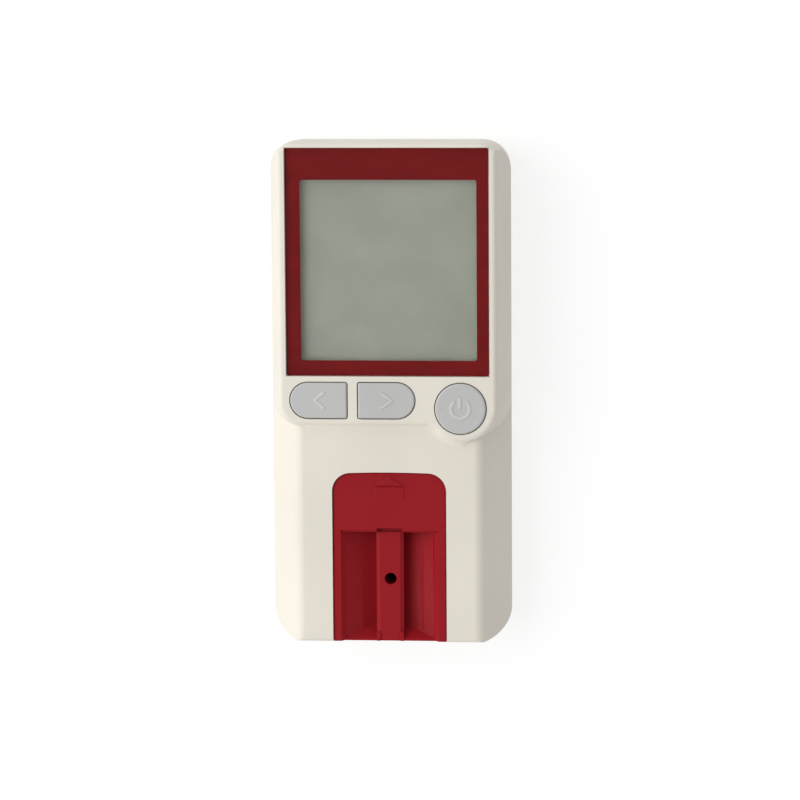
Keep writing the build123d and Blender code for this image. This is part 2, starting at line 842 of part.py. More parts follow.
def make_strip_holder():
    end_y = holder_end_y
    far = bottom_end_y - over
    body = slab(holder_outline(0, end_y), holder_bottom, holder_top)
    rim = body.faces().sort_by(Axis.Z)[-1].outer_wire().edges().sort_by(Axis.Y)[1:]
    body = chamfer(rim, holder_edge_bevel)
    # finger scoops beside the rail, with the plate's edge bevelled above them
    for side in (-1, 1):
        body -= scoop(side)
        x0, x1 = sorted((side * scoop_inner_x, side * scoop_outer_x))
        top = scoop_top_y + scoop_bevel
        low = holder_top - scoop_bevel
        points = [(scoop_top_y, holder_top), (scoop_top_y, low), (top, holder_top)]
        body -= across_x(Polygon(*points, align=None), x0, x1)
    # rail between the scoops, lower than the plate and bevelled along both sides
    body -= block(-scoop_inner_x, scoop_inner_x, far, scoop_top_y, rail_top, body_height)
    inner = scoop_inner_x - rail_bevel_width
    for side in (-1, 1):
        points = [(side * scoop_inner_x, rail_top), (side * inner, rail_top)]
        points.append((side * scoop_inner_x, rail_top - rail_bevel_depth))
        if side < 0:
            points.reverse()
        body -= along_y(Polygon(*points, align=None), far, scoop_top_y)
    # tunnel that takes the strip's end under the plate, and its mouth
    half = strip_width / 2
    tunnel_top = rail_top + tunnel_height
    body -= block(-half, half, scoop_top_y, scoop_top_y + tunnel_length, rail_top, tunnel_top)
    mouth = mouth_width / 2
    mouth_end = scoop_top_y + mouth_length
    body -= block(-mouth, mouth, scoop_top_y, mouth_end, rail_top - mouth_depth, body_height)
    # nibs at the end of the rail, that guide the strip in
    for side in (-1, 1):
        x0, x1 = sorted((side * scoop_inner_x, side * (scoop_inner_x - nib_width)))
        foot = rail_top - rail_bevel_depth
        body += block(x0, x1, end_y, end_y + nib_length, foot, rail_top + nib_height)
    # reading hole
    body -= disc(read_hole_x, read_hole_y, read_hole_diameter / 2, 0, body_height)
    # cores from below, that keep the plate's wall even
    core_y1 = holder_crest_y - holder_corner - core_wall
    core_y0 = scoop_top_y + core_wall
    for side in (-1, 1):
        x0, x1 = sorted((side * (half + core_wall), side * (holder_width / 2 - core_wall)))
        body -= block(x0, x1, core_y0, core_y1, 0, holder_top - core_roof)
    # side tongues that run in the grooves of the bay
    reach = holder_width / 2 + tongue_width
    tongues = block(-reach, reach, end_y, tongue_top_y, tongue_low, tongue_low + tongue_height)
    inner = holder_width / 2 - core_wall / 2
    tongues -= block(-inner, inner, far, 0, 0, body_height)
    return body + tongues


def scoop(side):
    """Hollow beside the rail: steep at the outer rim, and ramped up to the holder's end."""
    span = scoop_outer_x - scoop_inner_x
    low = holder_top - scoop_depth
    slope = math.radians(scoop_floor_slope)
    floor = TangentArc((0, low), (span, holder_top), tangent=(math.cos(slope), math.sin(slope)))
    sides = Polyline((span, holder_top), (span, body_height), (0, body_height), (0, low))
    profile = make_face(Curve() + [floor, sides])
    if side < 0:
        profile = mirror(profile, Plane.YZ)
    profile = Pos(side * scoop_inner_x, 0) * profile
    hollow = along_y(profile, bottom_end_y - over, scoop_top_y)
    lip = holder_end_y + scoop_lip
    far = bottom_end_y - over
    points = [(far, rail_top), (lip, rail_top), (lip + scoop_ramp, low)]
    points += [(scoop_top_y, low), (scoop_top_y, body_height), (far, body_height)]
    reach = scoop_outer_x + over
    return hollow & across_x(Polygon(*points, align=None), -reach, reach)


def make_optical_window():
    low = bay_floor_top - window_disc_thickness
    radius = window_disc_diameter / 2
    return peg(read_hole_x, read_hole_y, radius, low, bay_floor_top, broad_sides)


def make_optics_block():
    """Black block with one upright bore and two leaning ones that meet under the window."""
    x = read_hole_x
    y = read_hole_y
    body = slab(Pos(x, y) * Rectangle(block_width, block_length), optics_board_top, block_top)
    body = chamfer(body.edges().filter_by(Axis.Z), block_chamfer)
    body -= peg(x, y, sensor_bore_radius, 0, body_height)
    rise = block_top - optics_board_top
    lean = math.degrees(math.atan(led_offset / rise))
    for side in (-1, 1):
        bore = extrude(RegularPolygon(led_bore_radius, small_sides), 2 * rise, both=True)
        middle = Pos(x + side * led_offset / 2, y, optics_board_top + rise / 2)
        body -= middle * Rot(0, -side * lean, 0) * bore
    return body


def make_measuring_leds():
    top = optics_board_top + led_height
    leds = []
    for side in (-1, 1):
        place = Pos(read_hole_x + side * led_offset, read_hole_y)
        leds.append(slab(place * Rectangle(led_size, led_size), optics_board_top, top))
    return group(leds)


def make_photodiode():
    face = Pos(read_hole_x, read_hole_y) * Rectangle(photodiode_size, photodiode_size)
    return slab(face, optics_board_top, optics_board_top + photodiode_height)


def make_optics_board():
    plate = Rectangle(optics_board_width, optics_board_length)
    board = slab(Pos(read_hole_x, read_hole_y) * plate, optics_board_bottom, optics_board_top)
    for x, y in optics_screw_places:
        board -= peg(x, y, board_screw_radius + board_hole_clearance, 0, body_height)
    return board


def group(parts):
    """Separate solids under one name."""
    return Compound(children=[piece.solids()[0] for piece in parts])


def screw(x, y, head_z, head_height, head_radius, shank_radius, length, up):
    """Screw with a plain head; up says which way its shank points."""
    tip = head_z + length * up
    low, high = sorted((head_z, tip))
    shank = peg(x, y, shank_radius, low, high)
    head_low, head_high = sorted((head_z, head_z - head_height * up))
    return peg(x, y, head_radius, head_low, head_high) + shank


def make_housing_screws():
    shape = (screw_head_height, screw_head_radius, screw_radius, screw_length, 1)
    return group([screw(x, y, screw_seat_height, *shape) for x, y in housing_screw_places])


def make_board_screws():
    shape = (board_screw_head, board_screw_head_radius, board_screw_radius, board_screw_length, 1)
    return group([screw(x, y, board_bottom, *shape) for x, y in board_screw_places])


def make_optics_board_screws():
    length = optics_board_top - inner_floor
    shape = (board_screw_head, board_screw_head_radius, board_screw_radius, length, -1)
    return group([screw(x, y, optics_board_top, *shape) for x, y in optics_screw_places])


def make_main_circuit_board():
    half = board_width / 2
    board = block(-half, half, board_bottom_y, board_end_y, board_bottom, board_top)
    for x, y in housing_screw_places:
        board -= peg(x, y, boss_radius + board_notch_clearance, 0, body_height)
    for x, y in board_screw_places:
        board -= peg(x, y, board_screw_radius + board_hole_clearance, 0, body_height)
    for x, y in peg_places():
        board -= peg(x, y, peg_radius + peg_clearance, 0, body_height)
    return board


def make_microcontroller():
    body = Pos(chip_x, chip_y) * Rectangle(chip_size, chip_size)
    return slab(body, board_bottom - chip_thickness, board_bottom)


def make_crystal():
    can = RectangleRounded(crystal_length, crystal_width, crystal_corner)
    return slab(Pos(crystal_x, crystal_y) * can, board_bottom - crystal_height, board_bottom)


def make_capacitors():
    low = board_bottom - capacitor_height
    cans = []
    for i in range(capacitor_count):
        y = button_row_y - capacitor_below_row - i * capacitor_pitch
        cans.append(peg(capacitor_x, y, capacitor_radius, low, board_bottom))
    return group(cans)


def make_buzzer():
    low = board_bottom - buzzer_height
    can = peg(buzzer_x, buzzer_y, buzzer_radius, low, board_bottom, broad_sides)
    return can - peg(buzzer_x, buzzer_y, buzzer_hole_radius, low, low + buzzer_height / 2)


def battery_x(index):
    return (index - (battery_count - 1) / 2) * battery_pitch


def make_battery(index):
    """One cell; the middle one lies the other way round."""
    jacket = peg(0, 0, battery_diameter / 2, 0, battery_length - battery_nub_length, broad_sides)
    ends = jacket.faces().filter_by(Plane.XY)
    jacket = chamfer([edge for end in ends for edge in end.edges()], battery_edge)
    cell = jacket + peg(0, 0, battery_nub_diameter / 2, battery_length - battery_nub_length, battery_length)
    if index % 2 == 0:
        start = bay_top_y - contact_thickness - battery_length
        return Pos(battery_x(index), start, battery_axis_height) * Rot(-90, 0, 0) * cell
    start = bay_bottom_y + contact_thickness + battery_length
    return Pos(battery_x(index), start, battery_axis_height) * Rot(90, 0, 0) * cell


def contact_plate(x0, x1, at_top):
    y0 = bay_top_y - contact_thickness if at_top else bay_bottom_y
    low = battery_axis_height - contact_height / 2
    return block(x0, x1, y0, y0 + contact_thickness, low, low + contact_height)


def leaf_spring(index, at_top):
    """Bent leaf that presses on the flat end of a cell."""
    reach = bay_length - 2 * contact_thickness - battery_length
    face = bay_top_y - contact_thickness if at_top else bay_bottom_y + contact_thickness
    way = -1 if at_top else 1
    rise = contact_height / 2 - spring_thickness
    mid = spring_width / 6
    tip = reach - spring_thickness / 2
    points = [(0, rise), (tip, mid), (tip, -mid), (reach / 3, -rise)]
    path = FilletPolyline(*points, radius=spring_bend)
    leaf = make_face(offset(path, spring_thickness / 2, side=Side.BOTH).edges())
    origin = (battery_x(index), face, battery_axis_height)
    upright = Plane(origin=origin, x_dir=(0, way, 0), z_dir=(way, 0, 0))
    return extrude(upright * leaf, spring_width / 2, both=True)


def solder_tag(x, at_top):
    y0 = bay_top_y - contact_thickness if at_top else bay_bottom_y
    low = battery_axis_height + contact_height / 2
    return block(x - tag_width / 2, x + tag_width / 2, y0, y0 + contact_thickness, low, board_bottom)


def make_battery_contacts():
    """Two end terminals and the two links that join the cells in a row."""
    half = contact_width / 2
    first = battery_x(0)
    middle = battery_x(1)
    last = battery_x(battery_count - 1)
    positive = contact_plate(first - half, first + half, True) + solder_tag(first, True)
    negative = contact_plate(last - half, last + half, False) + solder_tag(last, False)
    negative += leaf_spring(battery_count - 1, False)
    lower = contact_plate(first - half, middle + half, False) + leaf_spring(0, False)
    upper = contact_plate(middle - half, last + half, True) + leaf_spring(1, True)
    return {
        "battery_positive_terminal": positive,
        "battery_negative_terminal": negative,
        "battery_link_lower": lower,
        "battery_link_upper": upper,
    }


def connector_blocks():
    """Ribbon connector on each board: low, high, and the face its ribbon enters."""
    half = connector_width / 2
    y_optics = read_hole_y + optics_board_length / 2 - connector_length
    y_main = board_bottom_y + connector_edge_gap
    y_end = y_optics + connector_length
    lower = block(-half, half, y_optics, y_end, optics_board_top, optics_board_top + connector_height)
    z_low = board_bottom - connector_height
    upper = block(-half, half, y_main, y_main + connector_length, z_low, board_bottom)
    return lower, upper, y_end, y_main


def make_ribbon_connectors():
    lower, upper, y_low, y_high = connector_blocks()
    return group([lower, upper])


def make_ribbon_cable():
    lower, upper, y_low, y_high = connector_blocks()
    z_low = optics_board_top + connector_height / 2
    z_high = board_bottom - connector_height / 2
    start = y_low + ribbon_thickness / 2
    end = y_high - ribbon_thickness / 2
    points = [(start, z_low), (end - ribbon_reach, z_low), (end - ribbon_rise, z_high), (end, z_high)]
    path = FilletPolyline(*points, radius=ribbon_bend)
    band = make_face(offset(path, ribbon_thickness / 2, side=Side.BOTH).edges())
    plane = Plane(origin=(0, 0, 0), x_dir=(0, 1, 0), z_dir=(1, 0, 0))
    return extrude(plane * band, ribbon_width / 2, both=True)


def make_rubber_feet():
    feet = []
    for x, y in corners(foot_x, foot_y):
        pad = peg(x, y, foot_radius, 0, foot_thickness, broad_sides)
        sole = pad.faces().sort_by(Axis.Z)[0]
        feet.append(chamfer(sole.outer_wire().edges(), foot_height / 2))
    return group(feet)


pieces = {
    "front_cover": make_front_cover(),
    "rear_cover": make_rear_cover(),
    "battery_door": make_battery_door(),
    "housing_screws": make_housing_screws(),
    "rubber_feet": make_rubber_feet(),
    "display_lens": make_display_lens(),
    "display_mask": make_display_mask(),
    "display_gasket": make_display_gasket(),
    "lcd_polariser": make_lcd_polariser(),
    "lcd_glass": make_lcd_glass(),
    "lcd_reflector": make_lcd_reflector(),
    "lcd_frame": make_lcd_frame(),
    "zebra_strips": make_zebra_strips(),
    "left_arrow_button": make_button("left"),
    "right_arrow_button": make_button("right"),
    "power_button": make_button("power"),
    "left_switch_body": make_switch_body("left"),
    "left_switch_plunger": make_switch_plunger("left"),
    "right_switch_body": make_switch_body("right"),
    "right_switch_plunger": make_switch_plunger("right"),
    "power_switch_body": make_switch_body("power"),
    "power_switch_plunger": make_switch_plunger("power"),
    "main_circuit_board": make_main_circuit_board(),
    "board_screws": make_board_screws(),
    "microcontroller": make_microcontroller(),
    "crystal": make_crystal(),
    "capacitors": make_capacitors(),
    "buzzer": make_buzzer(),
    "strip_holder": make_strip_holder(),
    "optical_window": make_optical_window(),
    "optics_block": make_optics_block(),
    "measuring_leds": make_measuring_leds(),
    "photodiode": make_photodiode(),
    "optics_board": make_optics_board(),
    "optics_board_screws": make_optics_board_screws(),
    "ribbon_connectors": make_ribbon_connectors(),
    "ribbon_cable": make_ribbon_cable(),
}
pieces.update(make_battery_contacts())
for number in range(battery_count):
    pieces[f"battery_{number + 1}"] = make_battery(number)

os.makedirs("parts", exist_ok=True)
for name, solid in pieces.items():
    export_step(solid, f"parts/{name}.step")
    print(name, round(solid.volume, 2))
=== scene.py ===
# %% [markdown]
# A hand-held hemoglobin strip meter.
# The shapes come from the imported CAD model. This file dresses them: it softens the moulded
# edges, gives each piece its finish, adds the raised signs, and lights the whole for a picture.
# Everything is in metres and in the model's own frame: X to the right, Y towards the display,
# Z out of the display face. Lengths written in millimetres are multiplied by mm.

# %% Load the model
import json
import math

import bmesh
import bpy
from mathutils import Matrix, Vector


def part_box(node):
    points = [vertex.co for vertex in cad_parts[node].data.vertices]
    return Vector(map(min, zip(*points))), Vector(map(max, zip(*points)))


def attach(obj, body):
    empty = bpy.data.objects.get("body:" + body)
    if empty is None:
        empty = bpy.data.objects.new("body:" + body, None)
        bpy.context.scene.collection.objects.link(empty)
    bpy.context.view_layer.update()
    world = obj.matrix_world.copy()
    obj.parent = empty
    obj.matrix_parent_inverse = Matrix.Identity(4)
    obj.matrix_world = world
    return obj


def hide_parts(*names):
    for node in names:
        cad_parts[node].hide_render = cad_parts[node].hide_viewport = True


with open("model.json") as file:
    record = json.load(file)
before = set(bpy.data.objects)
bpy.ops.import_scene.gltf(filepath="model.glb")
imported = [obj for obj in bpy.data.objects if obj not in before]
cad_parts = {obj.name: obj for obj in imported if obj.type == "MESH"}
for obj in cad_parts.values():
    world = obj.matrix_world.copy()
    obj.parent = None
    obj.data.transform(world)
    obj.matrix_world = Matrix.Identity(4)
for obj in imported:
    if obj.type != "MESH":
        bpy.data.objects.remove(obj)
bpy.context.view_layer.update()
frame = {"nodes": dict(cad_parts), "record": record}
nodes = frame["nodes"]
mm = 0.001

# %% [markdown]
# The camera stands where the photographer stood: nearly above the meter, a little to its right
# and towards its display end. A long lens keeps the sides of the casing almost parallel.
# A constraint could aim the camera, but here its axes are worked out as three vectors, because
# that states the slight roll plainly.

# %% Camera
view_yaw = 0.08421
view_pitch = 0.14393
view_roll = -0.00701
view_distance = 0.99117
view_target = Vector((0, 0.5, 12.5)) * mm

towards_camera = Vector((
    math.sin(view_yaw) * math.cos(view_pitch),
    math.sin(view_pitch),
    math.cos(view_yaw) * math.cos(view_pitch),
))
level_right = Vector((0, 1, 0)).cross(towards_camera).normalized()
level_up = towards_camera.cross(level_right)
camera_right = level_right * math.cos(view_roll) + level_up * math.sin(view_roll)
camera_up = level_up * math.cos(view_roll) - level_right * math.sin(view_roll)

camera_data = bpy.data.cameras.new("photo_camera")
camera_data.sensor_width = 36
camera_data.lens = 178.2
camera_data.shift_x = 0.0103
camera_data.shift_y = -0.0163
camera_data.clip_start = 0.05
camera_data.clip_end = 20
camera = bpy.data.objects.new("photo_camera", camera_data)
bpy.context.scene.collection.objects.link(camera)
turn = Matrix((camera_right, camera_up, towards_camera)).transposed().to_4x4()
camera.matrix_world = Matrix.Translation(view_target + towards_camera * view_distance) @ turn
bpy.context.scene.camera = camera
print("camera at", [round(v, 3) for v in camera.location])

# %% [markdown]
# Every finish is a small tree of nodes. The helpers below keep those trees short: one turns
# a paint code into a linear colour, and a class starts a material with its shader and Object
# coordinates. Its calls add a noise, and let the noise vary the colour, the roughness or the
# surface's slope. A noise gathers round 0.5, so its middle is spread over the whole range.

# %% Helpers for materials
noise_middle = (0.3, 0.7)


def paint(code):
    """Linear colour from a six-digit sRGB code."""
    channels = [int(code[i:i + 2], 16) / 255 for i in (0, 2, 4)]
    linear = [c / 12.92 if c <= 0.04045 else ((c + 0.055) / 1.055) ** 2.4 for c in channels]
    return (*linear, 1.0)


def shade(colour, factor):
    """The same colour, lighter or darker."""
    return (colour[0] * factor, colour[1] * factor, colour[2] * factor, colour[3])


class Finish:
    """A material, its shader, and short calls for the nodes that feed it."""

    def __init__(self, name, colour, roughness, **constants):
        self.material = bpy.data.materials.new(name)
        self.material.use_nodes = True
        self.tree = self.material.node_tree
        self.shader = self.tree.nodes["Principled BSDF"]
        self.shader.inputs["Base Color"].default_value = colour
        self.shader.inputs["Roughness"].default_value = roughness
        for key, value in constants.items():
            self.shader.inputs[shader_sockets[key]].default_value = value
        self.place = self.tree.nodes.new("ShaderNodeTexCoord").outputs["Object"]

    def node(self, kind, **settings):
        made = self.tree.nodes.new(kind)
        for key, value in settings.items():
            setattr(made, key, value)
        return made

    def link(self, source, target):
        self.tree.links.new(source, target)

    def noise(self, size, detail=3.0, stretch=(1, 1, 1)):
        """Noise whose blotches are about size metres across."""
        mapping = self.node("ShaderNodeMapping")
        mapping.inputs["Scale"].default_value = Vector(stretch) / size
        self.link(self.place, mapping.inputs["Vector"])
        texture = self.node("ShaderNodeTexNoise")
        texture.inputs["Scale"].default_value = 1.0
        texture.inputs["Detail"].default_value = detail
        self.link(mapping.outputs["Vector"], texture.inputs["Vector"])
        return texture.outputs["Fac"]

    def steps(self, source, stops):
        """Base colour by the value of source; stops are (position, colour)."""
        made = self.node("ShaderNodeValToRGB")
        elements = made.color_ramp.elements
        while len(elements) < len(stops):
            elements.new(0.5)
        for element, (position, colour) in zip(elements, stops):
            element.position = position
            element.color = colour
        self.link(source, made.inputs["Fac"])
        self.link(made.outputs["Color"], self.shader.inputs["Base Color"])

    def tint(self, source, first, last, ends=noise_middle):
        """Base colour that goes from first to last between the two ends of source."""
        self.steps(source, [(ends[0], first), (ends[1], last)])

    def wear(self, source, first, last):
        """Roughness that goes from first to last over the middle of source."""
        made = self.node("ShaderNodeMapRange")
        made.inputs["From Min"].default_value = noise_middle[0]
        made.inputs["From Max"].default_value = noise_middle[1]
        made.inputs["To Min"].default_value = first
        made.inputs["To Max"].default_value = last
        self.link(source, made.inputs["Value"])
        self.link(made.outputs["Result"], self.shader.inputs["Roughness"])

    def bump(self, source, depth):
        """Slopes of a relief with source as its height and depth in metres."""
        made = self.node("ShaderNodeBump")
        made.inputs["Distance"].default_value = depth
        self.link(source, made.inputs["Height"])
        self.link(made.outputs["Normal"], self.shader.inputs["Normal"])


shader_sockets = {
    "gloss": "Specular IOR Level",
    "coat": "Coat Weight",
    "metallic": "Metallic",
    "clear": "Transmission Weight",
    "bending": "IOR",
}
finishes = {}
print("material helpers ready")

# %% [markdown]
# Moulded plastic shows three things close up: a very fine spark-eroded grain, a slow drift of
# its colour where the melt flowed, and a roughness that changes a little where it is handled.
# Pictures of plastic could show that too, but noises need no files and no unwrapping. One
# function makes all the moulded finishes, because the real pieces come from similar moulds.

# %% Moulded plastics
flow_size, flow_stretch = 0.018, (1, 0.55, 1)
handling_size = 0.006
grain_size = 0.00035


def moulded(name, code, roughness, depth=0.000012, drift=0.03, gloss=0.5):
    colour = paint(code)
    finish = Finish(name, colour, roughness, gloss=gloss)
    flow = finish.noise(flow_size, 4.0, flow_stretch)
    finish.tint(flow, shade(colour, 1 - drift), shade(colour, 1 + drift))
    finish.wear(finish.noise(handling_size), roughness - 0.04, roughness + 0.05)
    finish.bump(finish.noise(grain_size, 2.0), depth)
    return finish


finishes["casing_cream"] = moulded("cream_casing_plastic", "e6e0d4", 0.5, gloss=0.35)
finishes["key_grey"] = moulded("grey_key_plastic", "bfc0be", 0.48, depth=0.00001, gloss=0.35)
# the signs are the key plastic painted lighter: a painted highlight for light on the raised
# strokes
finishes["key_sign"] = moulded("sign_plastic_painted_highlight", "c9cac7", 0.5, depth=0.000006, gloss=0.3)
finishes["holder_red"] = moulded(
    "red_holder_plastic", "97161f", 0.44, depth=0.000008, drift=0.05, gloss=0.15)
finishes["white_plastic"] = moulded("white_frame_plastic", "dcdcd6", 0.5)
finishes["black_plastic"] = moulded("black_block_plastic", "26262a", 0.5)
finishes["switch_plunger"] = moulded("black_plunger_plastic", "303033", 0.4)
finishes["connector_plastic"] = moulded("connector_plastic", "e2dcc8", 0.4)
print("moulded plastics:", len(finishes))

# %% [markdown]
# The display is a stack. On top lies a clear glossy pane, under it a red printed border, then
# the cell with its films. One painted surface could stand for all of them, but only real
# layers show their depth when the meter is tilted. The pane's reflection is kept low, as on
# a coated window, so that the red stays deep. The red print has a faint streak along it, as
# screen printing leaves.

# %% Display finishes
pane = Finish("clear_window_pane", (1, 1, 1, 1), 0.03, clear=1.0, bending=1.2)
pane.wear(pane.noise(0.009, 4.0), 0.015, 0.05)
finishes["clear_pane"] = pane

red_print = Finish("red_printed_border", paint("821416"), 0.35, gloss=0.05)
streak = red_print.noise(0.0035, 4.0, (0.25, 1, 1))
red_print.tint(streak, paint("7d1214"), paint("871618"))
red_print.bump(red_print.noise(0.003, 1.0), 0.000002)
finishes["red_print"] = red_print

film = Finish("display_film", paint("b0b4a5"), 0.22)
film.tint(film.noise(0.011), paint("abb0a1"), paint("b4b8a9"))
film.bump(film.noise(0.003, 1.0), 0.000003)
finishes["lcd_film"] = film

cell = Finish("display_cell_glass", paint("8f9789"), 0.12, coat=0.4)
cell.tint(cell.noise(0.008), paint("8b9385"), paint("939b8d"))
finishes["lcd_cell"] = cell

reflector = Finish("reflector_film", paint("c4c6c0"), 0.35, metallic=0.6)
reflector.bump(reflector.noise(0.0003, 2.0), 0.000006)
reflector.wear(reflector.noise(0.004), 0.28, 0.42)
finishes["reflector_film"] = reflector
print("display finishes ready")

# %% [markdown]
# Rubber and foam are matt and slightly uneven, and one noise of pores gives both. The zebra
# strips are layers of black and clear rubber. Hundreds of thin solids could show them, but
# nobody looks that close, so a wave texture draws their fine bands.

# %% Rubbers and foam


def soft(name, code, roughness, pore, depth):
    colour = paint(code)
    finish = Finish(name, colour, roughness)
    pores = finish.noise(pore, 4.0)
    finish.tint(pores, shade(colour, 0.7), shade(colour, 1.2), ends=(0.35, 0.65))
    finish.wear(pores, roughness + 0.05, roughness - 0.08)
    finish.bump(pores, depth)
    return finish


finishes["grey_rubber"] = soft("grey_foot_rubber", "5a5a5a", 0.75, 0.0004, 0.00003)
finishes["black_foam"] = soft("black_gasket_foam", "2c2c2e", 0.9, 0.0006, 0.0001)

zebra = Finish("zebra_contact_rubber", paint("77777a"), 0.55)
bands = zebra.node("ShaderNodeTexWave", wave_type="BANDS", bands_direction="X")
bands.inputs["Scale"].default_value = 1400
bands.inputs["Distortion"].default_value = 0.2
zebra.link(zebra.place, bands.inputs["Vector"])
zebra.tint(bands.outputs["Fac"], paint("2a2a2c"), paint("a8a8a4"), ends=(0.4, 0.6))
zebra.bump(bands.outputs["Fac"], 0.00001)
finishes["zebra_rubber"] = zebra
print("rubbers ready")

# %% [markdown]
# Metal pieces are brushed or plated. A noise drawn out along one axis gives the brushing, and
# the same noise feeds the roughness, so that scratches catch the light as well as bend it.

# %% Metals
brushing_size = 0.0012
brushing_depth = 0.000006


def metal(name, code, roughness, stretch):
    colour = paint(code)
    finish = Finish(name, colour, roughness, metallic=1.0)
    brushing = finish.noise(brushing_size, 5.0, stretch)
    finish.tint(brushing, shade(colour, 0.9), shade(colour, 1.05))
    finish.wear(brushing, roughness + 0.08, roughness - 0.05)
    finish.bump(brushing, brushing_depth)
    return finish


finishes["screw_steel"] = metal("zinc_screw_steel", "b4b4b8", 0.3, (1, 1, 0.4))
finishes["can_steel"] = metal("crystal_can_steel", "c6c6c8", 0.26, (0.15, 1, 1))
finishes["contact_metal"] = metal("nickel_contact_metal", "c9c6bc", 0.24, (1, 1, 0.12))
print("metals ready")

# %% [markdown]
# The boards are green solder mask over glass weave, with copper tracks just visible beneath.
# The tracks could be modelled, but they only show as a change of tone. So a brick pattern
# darkens and lightens the mask as they do, and a fine weave bumps it. The small parts on the
# boards are resin, slightly cloudy under a glossy skin.

# %% Electronic finishes
board = Finish("solder_mask_board", paint("1f6b3a"), 0.34)
tracks = board.node("ShaderNodeTexBrick", offset=0.5)
for socket, value in {
    "Color1": paint("1d6636"), "Color2": paint("237241"), "Mortar": paint("3c8a52"),
    "Scale": 260, "Mortar Size": 0.02, "Brick Width": 1.4, "Row Height": 0.35,
}.items():
    tracks.inputs[socket].default_value = value
board.link(board.place, tracks.inputs["Vector"])
board.link(tracks.outputs["Color"], board.shader.inputs["Base Color"])
board.bump(board.noise(0.0005, 2.0, (1, 0.3, 1)), 0.00001)
board.wear(board.noise(0.005), 0.28, 0.4)
finishes["circuit_board"] = board


def resin(name, code, roughness, coat):
    colour = paint(code)
    finish = Finish(name, colour, roughness, coat=coat)
    finish.tint(finish.noise(0.0012), shade(colour, 0.9), shade(colour, 1.06))
    finish.bump(finish.noise(0.0003), 0.000006)
    return finish


finishes["led_body"] = resin("clear_led_resin", "ecebe0", 0.2, 0.6)
finishes["diode_body"] = resin("dark_diode_resin", "41343f", 0.22, 0.6)
finishes["capacitor_sleeve"] = resin("capacitor_sleeve", "3a4252", 0.3, 0.3)
finishes["ribbon_film"] = resin("amber_ribbon_film", "c29a55", 0.28, 0.3)
print("electronic finishes ready")

# %% [markdown]
# A AAA cell is a steel can in a printed sleeve. The sleeve here is plain: a dark body with a
# copper band towards the positive end. The bands follow the Object coordinate along the cell,
# so they need no unwrapping. The three cells lie at different places, and the middle one is
# turned round, so each gets its own copy of the finish with its own two ends.

# %% Battery sleeves
bare_steel, sleeve_body, sleeve_band = paint("b9b9bb"), paint("39434f"), paint("a9743f")
sleeve_steps = [
    (0.0, bare_steel), (0.018, bare_steel), (0.022, sleeve_body), (0.7, sleeve_body),
    (0.705, sleeve_band), (0.965, sleeve_band), (0.969, bare_steel), (1.0, bare_steel),
]


def sleeve_finish(name, negative_end, positive_end):
    """Cell sleeve whose bands run from the negative to the positive end, in metres along Y."""
    sleeve = Finish(name, paint("3c4655"), 0.3, metallic=0.35)
    along = sleeve.node("ShaderNodeSeparateXYZ")
    sleeve.link(sleeve.place, along.inputs["Vector"])
    span = sleeve.node("ShaderNodeMapRange")
    span.inputs["From Min"].default_value = negative_end
    span.inputs["From Max"].default_value = positive_end
    sleeve.link(along.outputs["Y"], span.inputs["Value"])
    sleeve.steps(span.outputs["Result"], sleeve_steps)
    sleeve.bump(sleeve.noise(0.0008), 0.00001)
    sleeve.wear(sleeve.noise(0.004), 0.24, 0.36)
    return sleeve


cells = {}
for cell_name, turned_round in (("battery_1", False), ("battery_2", True), ("battery_3", False)):
    low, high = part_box(cell_name)
    cells[cell_name] = (high.y, low.y) if turned_round else (low.y, high.y)
    finishes[cell_name] = sleeve_finish(cell_name + "_sleeve", *cells[cell_name])
finishes["cell_jacket"] = finishes["battery_1"]
print("sleeves for", len(cells), "cells")

# %% [markdown]
# Each CAD node names its finish in the record. The loop puts the matching material in the
# node's slot, so pieces that keep their CAD shape are dressed without touching their mesh.

# %% Dress the CAD nodes
slot_of = {entry["node"]: entry["material_slot"] for entry in frame["record"]["subparts"]}
for name, node in nodes.items():
    for slot in node.material_slots:
        slot.material = finishes[slot_of[name]].material
print("dressed", len(nodes), "nodes")

# %% [markdown]
# A CAD mesh is loose triangles with knife-sharp edges, and no moulding has those. The outer
# mouldings are therefore copied, their doubles merged and their flat triangles dissolved, and
# the edges that the eye meets get a small rounding. The copy then stands for its CAD node.
# A Bevel modifier would round every sharp edge of a piece. Here the edges are picked by their
# fold and their place, so that hidden ones cost nothing. Weighted normals keep the large
# flats flat next to the rounded strips.

# %% Helpers for softened copies
merge_distance = 0.0000015
flat_angle = math.radians(0.6)
# how far from a level a point may lie and still count, in millimetres
margin = 0.05
fine_margin = 0.01


def joined_copy(name):
    """Working mesh of a CAD node, merged, with its flats as single faces."""
    work = bmesh.new()
    work.from_mesh(nodes[name].data)
    bmesh.ops.remove_doubles(work, verts=work.verts, dist=merge_distance)
    bmesh.ops.dissolve_limit(
        work, angle_limit=flat_angle, verts=work.verts, edges=work.edges)
    return work


def soften(work, width, where, segments=2, sharp=30, blunt=180):
    """Rounds the edges of a fitting angle whose two ends both lie where the test says.

    The width and the points that the test gets are in millimetres.
    """
    picked = []
    for edge in work.edges:
        fold = math.degrees(edge.calc_face_angle(0)) if len(edge.link_faces) == 2 else 0
        if sharp < fold < blunt and all(where(vert.co / mm) for vert in edge.verts):
            picked.append(edge)
    bmesh.ops.bevel(
        work, geom=picked, offset=width * mm, offset_type="OFFSET", segments=segments,
        profile=0.5, affect="EDGES", clamp_overlap=True, loop_slide=True,
    )
    print("edges rounded by", width, "mm:", len(picked))


